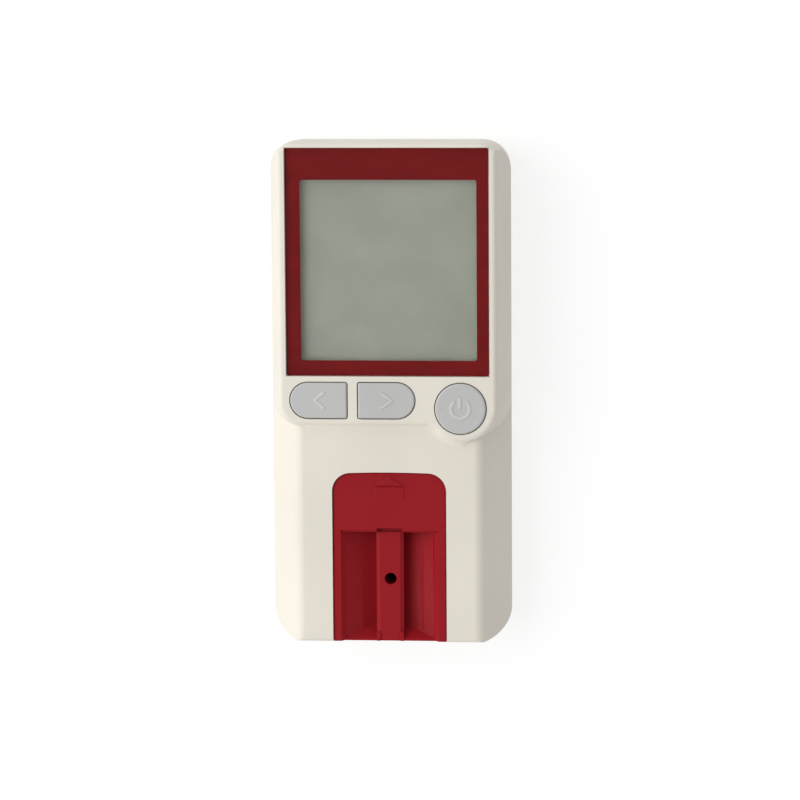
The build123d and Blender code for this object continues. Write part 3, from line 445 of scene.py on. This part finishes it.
def finished(name, work, slot_name, body, stands_for=(), smooth=32, finish=None):
    """Turns a working mesh into a piece with its finish, on its body."""
    mesh = bpy.data.meshes.new(name)
    work.to_mesh(mesh)
    work.free()
    piece = bpy.data.objects.new(name, mesh)
    bpy.context.scene.collection.objects.link(piece)
    mesh.shade_smooth()
    mesh.set_sharp_from_angle(angle=math.radians(smooth))
    mesh.materials.append(finishes[finish or slot_name].material)
    weighted = piece.modifiers.new("flat_faces_stay_flat", "WEIGHTED_NORMAL")
    weighted.keep_sharp = True
    weighted.weight = 90
    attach(piece, body)
    if stands_for:
        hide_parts(*stands_for)
    print(name, "has", len(mesh.polygons), "faces")


# %% [markdown]
# The front cover is the largest moulding. Its edges round the buttons, the window and the
# strip bay catch a thin line of light in the photograph, so those are the ones softened, and
# the curved edge at each lower corner is rounded too. Two more things are done to the copy.
# The foot of the step is a sloping skirt that ends bluntly at both flanks, so its lower edge
# is drawn in there until it fades out. Tall thin faces are cut across near their ends, because
# smooth shading would otherwise drag the tilt of a rounded rim down a whole wall.

# %% Front cover
step_height = 2.0
face_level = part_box("front_cover")[1].z / mm - step_height
bay_half = 14.4
mouth_line, mouth_foot = -61.2, 15.6
corner_line, corner_inner = -54.9, 22.0
parting_level = 12.05
skirt_flank = 21.18
skirt_rise = 0.88
# side of the cover: where the skirt's foot starts there, and where it meets the flank
skirt_ends = {-1: (-9.5, -7.66), 1: (-13.45, -11.27)}
# axis: levels at which the tall faces are cut across
wall_cuts = {"z": [12.5, 21.4, 23.8], "y": [-61.0, -54.0]}


def cut_across(work, axis, levels):
    """Adds edges where planes cross the mesh; nothing is removed."""
    normal = Vector([1.0 if i == "xyz".index(axis) else 0.0 for i in range(3)])
    for level in levels:
        everything = list(work.verts) + list(work.edges) + list(work.faces)
        bmesh.ops.bisect_plane(
            work, geom=everything, dist=1e-7, plane_co=normal * level * mm, plane_no=normal)


def fade_skirt(work, side, foot_y, flank_y, fade=3.2, cuts=4):
    """Draws the skirt in towards the flank over its last stretch, side -1 left or 1 right."""
    start = skirt_flank - fade
    cut_across(work, "x", [side * (start + fade * i / cuts) for i in range(cuts)])
    moved = []
    for vert in work.verts:
        x, y, z = vert.co / mm
        in_height = face_level - 2 * fine_margin < z < face_level + skirt_rise
        in_length = foot_y < y < flank_y - margin
        if in_height and in_length and x * side > start + fine_margin:
            moved.append(vert)
    for vert in moved:
        share = min(1.0, (abs(vert.co.x) / mm - start) / fade)
        vert.co.y += (flank_y * mm - vert.co.y) * share * share * (3 - 2 * share)
    print("skirt points drawn in:", len(moved))


def on_front_rims(p):
    on_faces = p.z > face_level - margin
    at_bay_mouth = abs(p.x) < bay_half and p.y < mouth_line and p.z > mouth_foot
    return on_faces or at_bay_mouth


def on_corner_curve(p):
    in_height = parting_level < p.z < face_level - 2 * margin
    return abs(p.x) > corner_inner and p.y < corner_line and in_height


work = joined_copy("front_cover")
for side, (foot_y, flank_y) in skirt_ends.items():
    fade_skirt(work, side, foot_y, flank_y)
soften(work, 0.22, on_front_rims, sharp=50)
soften(work, 0.3, on_corner_curve, segments=3, sharp=28)
for axis, levels in wall_cuts.items():
    cut_across(work, axis, levels)
finished("cream_front_cover", work, "casing_cream", "casing", ["front_cover"])

# %% [markdown]
# The rear cover is seen from below and from the sides. Its outer edge is a plain chamfer in
# the model; the two folds of that chamfer are rounded until they run into each other, which
# gives the soft edge that a hand-held moulding has. The rims of the screw wells, the door
# opening and the foot pockets are only broken a little, and so are those of the battery door,
# which is a copy of its own because it swings out on its own body.

# %% Rear cover and battery door
rear_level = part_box("rear_cover")[0].z / mm
rear_chamfer = 1.9
door_rim_depth = 0.6


def up_to(height):
    """Test for points no higher above the rear face than a height."""
    return lambda p: p.z < rear_level + height


work = joined_copy("rear_cover")
soften(work, 1.1, up_to(rear_chamfer + margin), segments=4, blunt=60)
soften(work, 0.15, up_to(margin), sharp=70)
finished("cream_rear_cover", work, "casing_cream", "casing", ["rear_cover"])

work = joined_copy("battery_door")
soften(work, 0.15, up_to(door_rim_depth), sharp=50)
finished("cream_battery_door", work, "casing_cream", "door", ["battery_door"])

# %% [markdown]
# The pane lies right on the printed border. Where two surfaces meet exactly, a ray that has
# just left the pane can miss the print and see black. So the pane is copied, its underside is
# lifted by two hundredths of a millimetre, and its upper rim is rounded a little.

# %% Display pane
pane_low, pane_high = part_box("display_lens")
air_gap = 0.02 * mm
work = joined_copy("display_lens")
for vert in work.verts:
    if vert.co.z < pane_low.z + air_gap:
        vert.co.z += air_gap
soften(work, 0.1, lambda p: p.z > pane_high.z / mm - margin, sharp=50)
finished("clear_display_pane", work, "clear_pane", "casing", ["display_lens"])

# %% [markdown]
# The key caps are small grey mouldings. Their CAD solids already have the outline and the
# bevel round the top, so a copy with that bevel softened is enough. Each cap rides on the
# body of its own key, because each is pressed alone.

# %% Key caps
rim_depth = 0.6
key_bodies = {
    "left_arrow_button": "left_arrow_key",
    "right_arrow_button": "right_arrow_key",
    "power_button": "power_key",
}
for cad_name, body in key_bodies.items():
    cap_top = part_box(cad_name)[1].z / mm
    work = joined_copy(cad_name)
    soften(work, 0.1, lambda p: p.z > cap_top - rim_depth, sharp=25)
    finished("grey_" + cad_name, work, "key_grey", body, [cad_name])

# %% [markdown]
# The strip holder is one red moulding: a rail with a short tunnel for the strip, a scoop on
# either side and a reading hole. A finer mesh could be built anew, but the CAD solid has all
# these forms, so its copy only gets slightly round upper edges.

# %% Strip holder
plate_level = 22.5
upper_depth = 1.7
work = joined_copy("strip_holder")
soften(work, 0.14, lambda p: p.z > plate_level - upper_depth)
finished("red_strip_holder", work, "holder_red", "holder", ["strip_holder"])

# %% [markdown]
# Some pieces are grown by Geometry Nodes. Each tree takes its sizes and its finish as named
# inputs, and ends by making its instances real and setting the finish. A class keeps what
# the trees share. Another helper runs a tree on a mesh and keeps the plain result.

# %% Helpers for Geometry Nodes trees


class Tree:
    """A Geometry Nodes tree with named inputs, and short calls for its nodes."""

    def __init__(self, name, inputs):
        self.group = bpy.data.node_groups.new(name, "GeometryNodeTree")
        self.new = self.group.nodes.new
        self.link = self.group.links.new
        self.socket("Geometry", "Geometry", "OUTPUT")
        self.socket("Geometry", "Geometry")
        for label, (kind, value) in inputs.items():
            self.socket(label, kind).default_value = value
        self.socket("Finish", "Material")
        self.given = self.new("NodeGroupInput").outputs

    def socket(self, label, kind, direction="INPUT"):
        return self.group.interface.new_socket(
            name=label, in_out=direction, socket_type="NodeSocket" + kind)

    def times(self, source, factor):
        node = self.new("ShaderNodeMath")
        node.operation = "MULTIPLY"
        self.link(source, node.inputs[0])
        node.inputs[1].default_value = factor
        return node.outputs[0]

    def vector(self, **parts):
        node = self.new("ShaderNodeCombineXYZ")
        for key, source in parts.items():
            self.link(source, node.inputs[key])
        return node.outputs["Vector"]

    def pin(self, radius, depth, sides):
        node = self.new("GeometryNodeMeshCylinder")
        node.inputs["Vertices"].default_value = sides
        self.link(radius, node.inputs["Radius"])
        self.link(depth, node.inputs["Depth"])
        return node.outputs["Mesh"]

    def moved(self, geometry, offset):
        node = self.new("GeometryNodeTransform")
        self.link(geometry, node.inputs["Geometry"])
        self.link(offset, node.inputs["Translation"])
        return node.outputs["Geometry"]

    def set_on_points(self, geometry, rotation=None):
        node = self.new("GeometryNodeInstanceOnPoints")
        self.link(self.given["Geometry"], node.inputs["Points"])
        self.link(geometry, node.inputs["Instance"])
        if rotation is not None:
            self.link(rotation, node.inputs["Rotation"])
        return node.outputs["Instances"]

    def finish(self, geometry):
        """Makes instances real, sets the finish, and closes the tree."""
        real = self.new("GeometryNodeRealizeInstances")
        colour = self.new("GeometryNodeSetMaterial")
        out = self.new("NodeGroupOutput")
        self.link(geometry, real.inputs["Geometry"])
        self.link(real.outputs["Geometry"], colour.inputs["Geometry"])
        self.link(self.given["Finish"], colour.inputs["Material"])
        self.link(colour.outputs["Geometry"], out.inputs["Geometry"])
        return self.group


def grown(name, tree, mesh, values, body):
    """Runs a tree on a mesh, and keeps the result as a plain piece."""
    seed = bpy.data.objects.new(name, mesh)
    bpy.context.scene.collection.objects.link(seed)
    modifier = seed.modifiers.new("tree", "NODES")
    modifier.node_group = tree
    for item in tree.interface.items_tree:
        if item.item_type == "SOCKET" and item.in_out == "INPUT" and item.name in values:
            modifier[item.identifier] = values[item.name]
    graph = bpy.context.evaluated_depsgraph_get()
    made = bpy.data.meshes.new_from_object(seed.evaluated_get(graph))
    seed.modifiers.remove(modifier)
    seed.data = made
    made.shade_smooth()
    made.set_sharp_from_angle(angle=math.radians(40))
    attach(seed, body)
    print(name, "has", len(made.polygons), "faces")
    return seed


print("tree helpers ready")

# %% [markdown]
# The signs on the keys are raised strokes of one width. A bump in the finish could hint at
# them, but only an edge catches light. A stroke follows a path, so a tree draws it: the path
# becomes a curve, and a flat profile with round corners is swept along it. The profile is
# twice the stroke's height, because its lower half is sunk in the cap.

# %% A tree that draws raised strokes


def stroke_tree():
    tree = Tree("raised_stroke", {
        "Stroke Width": ("Float", 0.0005), "Stroke Height": ("Float", 0.0002)})
    path = tree.new("GeometryNodeMeshToCurve")
    level = tree.new("GeometryNodeSetCurveNormal")
    level.mode = "Z_UP"
    profile = tree.new("GeometryNodeCurvePrimitiveQuadrilateral")
    corners = tree.new("GeometryNodeFilletCurve")
    corners.mode = "POLY"
    corners.inputs["Count"].default_value = 3
    sweep = tree.new("GeometryNodeCurveToMesh")
    sweep.inputs["Fill Caps"].default_value = True
    height = tree.given["Stroke Height"]
    tree.link(tree.given["Geometry"], path.inputs["Mesh"])
    tree.link(path.outputs["Curve"], level.inputs["Curve"])
    tree.link(tree.given["Stroke Width"], profile.inputs["Width"])
    tree.link(tree.times(height, 2.0), profile.inputs["Height"])
    tree.link(tree.times(height, 0.7), corners.inputs["Radius"])
    tree.link(profile.outputs["Curve"], corners.inputs["Curve"])
    tree.link(level.outputs["Curve"], sweep.inputs["Curve"])
    tree.link(corners.outputs["Curve"], sweep.inputs["Profile Curve"])
    return tree.finish(sweep.outputs["Mesh"])


def path_mesh(name, strokes, level):
    """Edges that follow lists of (x, y) points in millimetres, at one height."""
    mesh = bpy.data.meshes.new(name)
    points, edges = [], []
    for stroke in strokes:
        start = len(points)
        points += [(x * mm, y * mm, level * mm) for x, y in stroke]
        edges += [(start + i, start + i + 1) for i in range(len(stroke) - 1)]
    mesh.from_pydata(points, edges, [])
    return mesh


strokes = stroke_tree()
print("stroke tree ready")

# %% [markdown]
# The arrow keys carry a plain chevron each, and the power key the usual broken ring with a
# bar. They stand a little proud of their caps, and their plastic is painted a little lighter
# than the caps as a painted highlight for the light that the raised strokes catch.

# %% Signs on the keys
arrow_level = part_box("left_arrow_button")[1].z / mm
power_level = 25.2
chevrons = {
    "left": [(-15.8, 0.86), (-18.2, -1.05), (-15.8, -3.15)],
    "right": [(-1.55, 0.72), (1.07, -1.18), (-1.7, -3.1)],
}
sign_values = {
    "Stroke Width": 0.85 * mm,
    "Stroke Height": 0.14 * mm,
    "Finish": finishes["key_sign"].material,
}
for side, points in chevrons.items():
    mesh = path_mesh(side + "_chevron", [points], arrow_level)
    grown(side + "_arrow_sign", strokes, mesh, sign_values, side + "_arrow_key")

ring_x, ring_y = 17.95, -3.15
ring_radius = 2.3
ring_gap = 36
ring_steps = 32
ring = []
for step in range(ring_steps + 1):
    a = math.radians(90 + ring_gap + step * (360 - 2 * ring_gap) / ring_steps)
    ring.append((ring_x + ring_radius * math.cos(a), ring_y + ring_radius * math.sin(a)))
bar = [(17.85, -0.15), (17.85, -3.0)]
mesh = path_mesh("power_sign_path", [ring, bar], power_level)
grown("power_sign", strokes, mesh, sign_values, "power_key")

# %% [markdown]
# The arrow on the red plate is not a line but a low raised block: a roof-shaped head with a
# stem that runs out into the plate below. The stroke tree can't draw such a block, so two
# small meshes with sloping sides make it.

# %% Arrow on the holder
sunk = 0.02


def drawn_in(outline, distance):
    """Corners of a convex anticlockwise outline after each side moves in by a distance."""
    inner = []
    for i, corner in enumerate(outline):
        here = Vector(corner[:2])
        before = (here - Vector(outline[i - 1][:2])).normalized()
        after = (Vector(outline[(i + 1) % len(outline)][:2]) - here).normalized()
        sides = [Vector((-before.y, before.x)), Vector((-after.y, after.x))]
        inner.append(here + (sides[0] + sides[1]) * distance / (1 + sides[0].dot(sides[1])))
    return inner


def plateau(work, outline, foot, slope):
    """Raised flat with sloping sides; outline is [(x, y, height)] anticlockwise, in mm."""
    low = [work.verts.new((x * mm, y * mm, (foot - sunk) * mm)) for x, y, height in outline]
    high = []
    for (x, y, height), inner in zip(outline, drawn_in(outline, slope)):
        high.append(work.verts.new((inner.x * mm, inner.y * mm, (foot + height) * mm)))
    work.faces.new(high)
    work.faces.new(list(reversed(low)))
    for i in range(len(outline)):
        j = (i + 1) % len(outline)
        work.faces.new((low[i], low[j], high[j], high[i]))


head_height = 0.44
stem_height = 0.34
work = bmesh.new()
plateau(work, [
    (-4.6, -23.15, head_height), (4.6, -23.15, head_height), (0, -20.4, head_height),
], plate_level, slope=0.46)
plateau(work, [
    (-3.9, -26.8, 0.0), (3.9, -26.8, 0.0), (3.9, -22.9, stem_height), (-3.9, -22.9, stem_height),
], plate_level, slope=0.45)
bmesh.ops.recalc_face_normals(work, faces=work.faces)
finished("holder_arrow", work, "holder_red", "holder", smooth=12)

# %% [markdown]
# Small screws repeat, so one is modelled and a tree sets it on every place, each turned by
# its own amount. The head is a plain cylinder with a cross recess, which the tree's own
# boolean cuts so that it stays crisp, and the shank below is a simple pin. The head reaches
# from its seat at zero up to its height, and the shank goes down.

# %% A tree that sets screws
full_turn = 6.28


def screw_tree():
    tree = Tree("cross_head_screws", {
        "Head Radius": ("Float", 0.002), "Head Height": ("Float", 0.0016),
        "Shank Radius": ("Float", 0.0011), "Length": ("Float", 0.011),
        "Turn": ("Float", 0.0), "Seed": ("Int", 3)})
    radius, height, length = [
        tree.given[label] for label in ("Head Radius", "Head Height", "Length")]
    head = tree.moved(tree.pin(radius, height, 40), tree.vector(Z=tree.times(height, 0.5)))
    shank = tree.moved(
        tree.pin(tree.given["Shank Radius"], length, 32),
        tree.vector(Z=tree.times(length, -0.5)))
    # the cross: two bars sunk into the head
    wide, narrow = tree.times(radius, 1.25), tree.times(radius, 0.3)
    deep = tree.times(height, 1.1)
    cut = tree.new("GeometryNodeMeshBoolean")
    cut.operation = "DIFFERENCE"
    tree.link(head, cut.inputs["Mesh 1"])
    for x, y in ((wide, narrow), (narrow, wide)):
        bar = tree.new("GeometryNodeMeshCube")
        tree.link(tree.vector(X=x, Y=y, Z=deep), bar.inputs["Size"])
        sunk_bar = tree.moved(bar.outputs["Mesh"], tree.vector(Z=height))
        tree.link(sunk_bar, cut.inputs["Mesh 2"])
    both = tree.new("GeometryNodeJoinGeometry")
    tree.link(cut.outputs["Mesh"], both.inputs["Geometry"])
    tree.link(shank, both.inputs["Geometry"])
    chance = tree.new("FunctionNodeRandomValue")
    chance.inputs["Max"].default_value = full_turn
    tree.link(tree.given["Seed"], chance.inputs["Seed"])
    rotation = tree.vector(X=tree.given["Turn"], Z=chance.outputs[1])
    return tree.finish(tree.set_on_points(both.outputs["Geometry"], rotation))


screws = screw_tree()
print("screw tree ready")

# %% [markdown]
# The casing screws point up into the front cover, so their heads look down out of the rear
# wells. The main board's screws point up too, and those of the optics board point down. The
# places could be written here again, but they are read from the CAD model, so that they can't
# drift from it: a helper finds the separate solids of a node.

# %% Casing, board and optics screws


def islands(name):
    """Lowest and highest corner of each separate solid of a node, from left to right."""
    work = bmesh.new()
    work.from_mesh(nodes[name].data)
    bmesh.ops.remove_doubles(work, verts=work.verts, dist=merge_distance)
    left = set(work.verts)
    found = []
    while left:
        stack, group = [left.pop()], []
        while stack:
            vert = stack.pop()
            group.append(vert.co.copy())
            for edge in vert.link_edges:
                other = edge.other_vert(vert)
                if other in left:
                    left.discard(other)
                    stack.append(other)
        low = Vector(map(min, zip(*group)))
        high = Vector(map(max, zip(*group)))
        found.append((low, high))
    work.free()
    found.sort(key=lambda corners: (round(corners[0].x, 5), round(corners[0].y, 5)))
    return found


screw_sizes = {
    "housing_screws": (2.0, 1.6, 1.1),
    "board_screws": (1.7, 1.2, 0.9),
    "optics_board_screws": (1.7, 1.2, 0.9),
}
for cad_name, (head_radius, head_height, shank_radius) in screw_sizes.items():
    places = islands(cad_name)
    low, high = places[0]
    length = (high.z - low.z) - head_height * mm
    points_up = cad_name != "optics_board_screws"
    seat = low.z + head_height * mm if points_up else high.z - head_height * mm
    mesh = bpy.data.meshes.new(cad_name + "_places")
    mesh.from_pydata([((a.x + b.x) / 2, (a.y + b.y) / 2, seat) for a, b in places], [], [])
    values = {
        "Head Radius": head_radius * mm, "Head Height": head_height * mm,
        "Shank Radius": shank_radius * mm, "Length": length,
        "Turn": math.pi if points_up else 0.0, "Seed": 5,
        "Finish": finishes["screw_steel"].material,
    }
    piece = grown("cross_" + cad_name, screws, mesh, values, "casing")
    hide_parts(cad_name)

# %% [markdown]
# The four feet are soft discs that repeat, so a tree sets one disc on each place. The rim of
# each disc is rounded afterwards, because a worn rubber foot has no sharp edge.

# %% Rubber feet


def disc_tree(sides=48):
    tree = Tree("discs_on_places", {
        "Disc Radius": ("Float", 0.003), "Disc Height": ("Float", 0.0012)})
    disc = tree.pin(tree.given["Disc Radius"], tree.given["Disc Height"], sides)
    return tree.finish(tree.set_on_points(disc))


foot_places = islands("rubber_feet")
mesh = bpy.data.meshes.new("foot_places")
mesh.from_pydata([(a + b) / 2 for a, b in foot_places], [], [])
low, high = foot_places[0]
feet = grown("soft_rubber_feet", disc_tree(), mesh, {
    "Disc Radius": (high.x - low.x) / 2, "Disc Height": high.z - low.z,
    "Finish": finishes["grey_rubber"].material,
}, "casing")
work = bmesh.new()
work.from_mesh(feet.data)
soften(work, 0.3, lambda p: p.z < margin, segments=3, sharp=50)
work.to_mesh(feet.data)
work.free()
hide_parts("rubber_feet")

# %% [markdown]
# Cells, cans and the sensor window are turned shapes. A Screw modifier could turn a profile,
# but it needs an object with the right axis for each piece. So a lathe helper lays rings of
# points round any axis by a list of radii and distances, which reads like a drawing of the
# profile.

# %% Turned pieces


def turned(work, profile, origin, axis=(0, 0, 1), sides=48):
    """Skin turned round an axis; profile is [(radius, distance along the axis)], in mm."""
    axis = Vector(axis).normalized()
    side = axis.orthogonal().normalized()
    third = axis.cross(side)
    rings = []
    for radius, along in profile:
        middle = Vector(origin) + axis * along
        ring = []
        for i in range(sides if radius > 0 else 1):
            a = 2 * math.pi * i / sides
            out = side * math.cos(a) + third * math.sin(a)
            ring.append(work.verts.new((middle + out * radius) * mm))
        rings.append(ring)
    for one, two in zip(rings, rings[1:]):
        for i in range(sides):
            j = (i + 1) % sides
            corners = [one[i % len(one)], one[j % len(one)], two[j % len(two)], two[i % len(two)]]
            work.faces.new(list(dict.fromkeys(corners)))
    bmesh.ops.recalc_face_normals(work, faces=work.faces)


def upright(low, high):
    """Axis foot, radius, bottom and top of an upright turned piece, from its box."""
    foot = ((low.x + high.x) / 2, (low.y + high.y) / 2, 0)
    return foot, (high.x - low.x) / 2, low.z, high.z


cell_profile = [
    (0, 0.15), (3.3, 0.15), (3.6, 0), (4.5, 0), (4.95, 0.15), (5.18, 0.5), (5.25, 1.0),
    (5.25, 42.6), (5.16, 43.1), (4.85, 43.5), (4.3, 43.6), (3.6, 43.35), (2.2, 43.35),
    (1.95, 43.5), (1.9, 44.2), (1.75, 44.45), (1.5, 44.5), (0, 44.5),
]
for cell_name, (negative_end, positive_end) in cells.items():
    low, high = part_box(cell_name)
    middle = (low + high) / 2 / mm
    way = 1 if positive_end > negative_end else -1
    work = bmesh.new()
    turned(work, cell_profile, (middle.x, negative_end / mm, middle.z), (0, way, 0))
    name = "turned_" + cell_name
    finished(name, work, "cell_jacket", "casing", [cell_name], smooth=40, finish=cell_name)

rim = 0.12
foot, wide, bottom, top = upright(*[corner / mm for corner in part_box("optical_window")])
work = bmesh.new()
turned(work, [
    (0, bottom), (wide, bottom), (wide, top - rim), (wide - rim, top), (0, top),
], foot, sides=64)
finished("sensor_window_disc", work, "clear_pane", "casing", ["optical_window"])

foot, wide, bottom, top = upright(*[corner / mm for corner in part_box("buzzer")])
work = bmesh.new()
turned(work, [
    (0, bottom + 2.1), (0.8, bottom + 2.1), (0.8, bottom + 0.1), (0.9, bottom),
    (wide - 0.3, bottom), (wide, bottom + 0.3), (wide, top - 0.9), (wide - 0.15, top - 0.8),
    (wide - 0.15, top), (0, top),
], foot)
finished("turned_buzzer", work, "black_plastic", "casing", ["buzzer"], smooth=40)

work = bmesh.new()
for corners in islands("capacitors"):
    foot, wide, bottom, top = upright(*[corner / mm for corner in corners])
    turned(work, [
        (0, bottom + 0.1), (wide - 0.45, bottom + 0.1), (wide - 0.3, bottom),
        (wide - 0.1, bottom + 0.1), (wide, bottom + 0.35), (wide, top - 1.4),
        (wide - 0.22, top - 1.15), (wide, top - 0.9), (wide, top), (0, top),
    ], foot, sides=32)
finished("turned_capacitors", work, "capacitor_sleeve", "casing", ["capacitors"], smooth=50)

# %% [markdown]
# The stage is a wide pale floor. Seen from below it lets the view through, by its back faces,
# so that the underside of the meter can be looked at. For the camera, for glossy and for
# transmitted rays the floor is lifted to white, and it still takes the meter's soft shadow.
# For the light that falls on the meter the floor is open: the lower half of the light tent
# shines about as much as a pale floor would throw back, and so the underside isn't black.

# %% Floor
floor_size = 6.0
floor_shown = 0.32
floor_lift = 0.74
half = floor_size / 2
floor_mesh = bpy.data.meshes.new("pale_floor")
floor_corners = [(-half, -half, 0), (half, -half, 0), (half, half, 0), (-half, half, 0)]
floor_mesh.from_pydata(floor_corners, [], [(0, 1, 2, 3)])
floor = bpy.data.objects.new("pale_floor", floor_mesh)
bpy.context.scene.collection.objects.link(floor)
floor_material = bpy.data.materials.new("pale_floor_paint")
floor_material.use_nodes = True
floor_material.node_tree.nodes.clear()
new = floor_material.node_tree.nodes.new
link = floor_material.node_tree.links.new


def mixed(fac, first, second):
    """First shader where fac is 0, second where it is 1."""
    made = new("ShaderNodeMixShader")
    for socket, source in zip(made.inputs, (fac, first, second)):
        link(source, socket)
    return made.outputs[0]


# what the camera and reflections see: weak paint, so a light shadow, lifted to white
shown_paint = new("ShaderNodeBsdfDiffuse")
shown_paint.inputs["Color"].default_value = (floor_shown, floor_shown, floor_shown, 1)
lift = new("ShaderNodeEmission")
lift.inputs["Strength"].default_value = floor_lift
shown = new("ShaderNodeAddShader")
link(shown_paint.outputs[0], shown.inputs[0])
link(lift.outputs[0], shown.inputs[1])
rays = new("ShaderNodeLightPath")
seen = rays.outputs["Is Camera Ray"]
for kind in ("Is Glossy Ray", "Is Transmission Ray"):
    either = new("ShaderNodeMath")
    either.operation = "MAXIMUM"
    link(seen, either.inputs[0])
    link(rays.outputs[kind], either.inputs[1])
    seen = either.outputs[0]
open_floor = new("ShaderNodeBsdfTransparent").outputs[0]
from_above = mixed(seen, open_floor, shown.outputs[0])
from_below = new("ShaderNodeNewGeometry").outputs["Backfacing"]
out = new("ShaderNodeOutputMaterial")
link(mixed(from_below, from_above, open_floor), out.inputs["Surface"])
floor_mesh.materials.append(floor_material)
print("floor", floor_size, "m wide")

# %% [markdown]
# The light in the photograph comes from the left and a little from above, and is soft: left
# walls are bright, right walls clearly darker. One large lamp gives part of that slope. The
# world fills the rest, as in a light tent: brighter near the horizon than overhead, which
# keeps reflections in the window pane low, and brighter on the left than on the right.

# %% Light
tent_horizon, tent_top, tent_climb = 1.05, 0.35, (0.35, 0.95)
tent_below, tent_foot = 0.55, (-0.2, 0.1)
tent_lean = 0.32
world = bpy.data.worlds.new("light_tent")
bpy.context.scene.world = world
world.use_nodes = True
background = world.node_tree.nodes["Background"]
background.inputs["Strength"].default_value = 1.0
new = world.node_tree.nodes.new
link = world.node_tree.links.new


def eased(source, between, first, last):
    """Goes smoothly from first to last while source goes through a range."""
    made = new("ShaderNodeMapRange")
    made.interpolation_type = "SMOOTHSTEP"
    made.inputs["From Min"].default_value = between[0]
    made.inputs["From Max"].default_value = between[1]
    made.inputs["To Min"].default_value = first
    made.inputs["To Max"].default_value = last
    link(source, made.inputs["Value"])
    return made.outputs["Result"]


def product(one, two):
    made = new("ShaderNodeMath")
    made.operation = "MULTIPLY"
    link(one, made.inputs[0])
    link(two, made.inputs[1])
    return made.outputs[0]


split = new("ShaderNodeSeparateXYZ")
link(new("ShaderNodeTexCoord").outputs["Generated"], split.inputs["Vector"])
fade = eased(split.outputs["Z"], tent_climb, tent_horizon, tent_top)
lower_half = eased(split.outputs["Z"], tent_foot, tent_below, 1.0)
lean = new("ShaderNodeMath")
lean.operation = "MULTIPLY_ADD"
lean.inputs[1].default_value = -tent_lean
lean.inputs[2].default_value = 1.0
link(split.outputs["X"], lean.inputs[0])
brightness = product(product(fade, lean.outputs[0]), lower_half)
grey = new("ShaderNodeCombineColor")
for channel in ("Red", "Green", "Blue"):
    link(brightness, grey.inputs[channel])
link(grey.outputs["Color"], background.inputs["Color"])

softbox_place = Vector((-0.66, 0.2, 0.9))
softbox_data = bpy.data.lights.new("left_softbox", "AREA")
softbox_data.shape = "SQUARE"
softbox_data.size = 0.9
softbox_data.energy = 5.6
softbox = bpy.data.objects.new("left_softbox", softbox_data)
bpy.context.scene.collection.objects.link(softbox)
softbox.location = softbox_place
softbox.rotation_mode = "QUATERNION"
softbox.rotation_quaternion = softbox_place.to_track_quat("Z", "Y")
print("light ready")

# %% [markdown]
# The picture keeps plain colours, without a film look. The two boxes go into a small file, so
# that the dressed meter's size can be compared with the CAD model's.

# %% Picture settings
bpy.context.scene.view_settings.view_transform = "Standard"
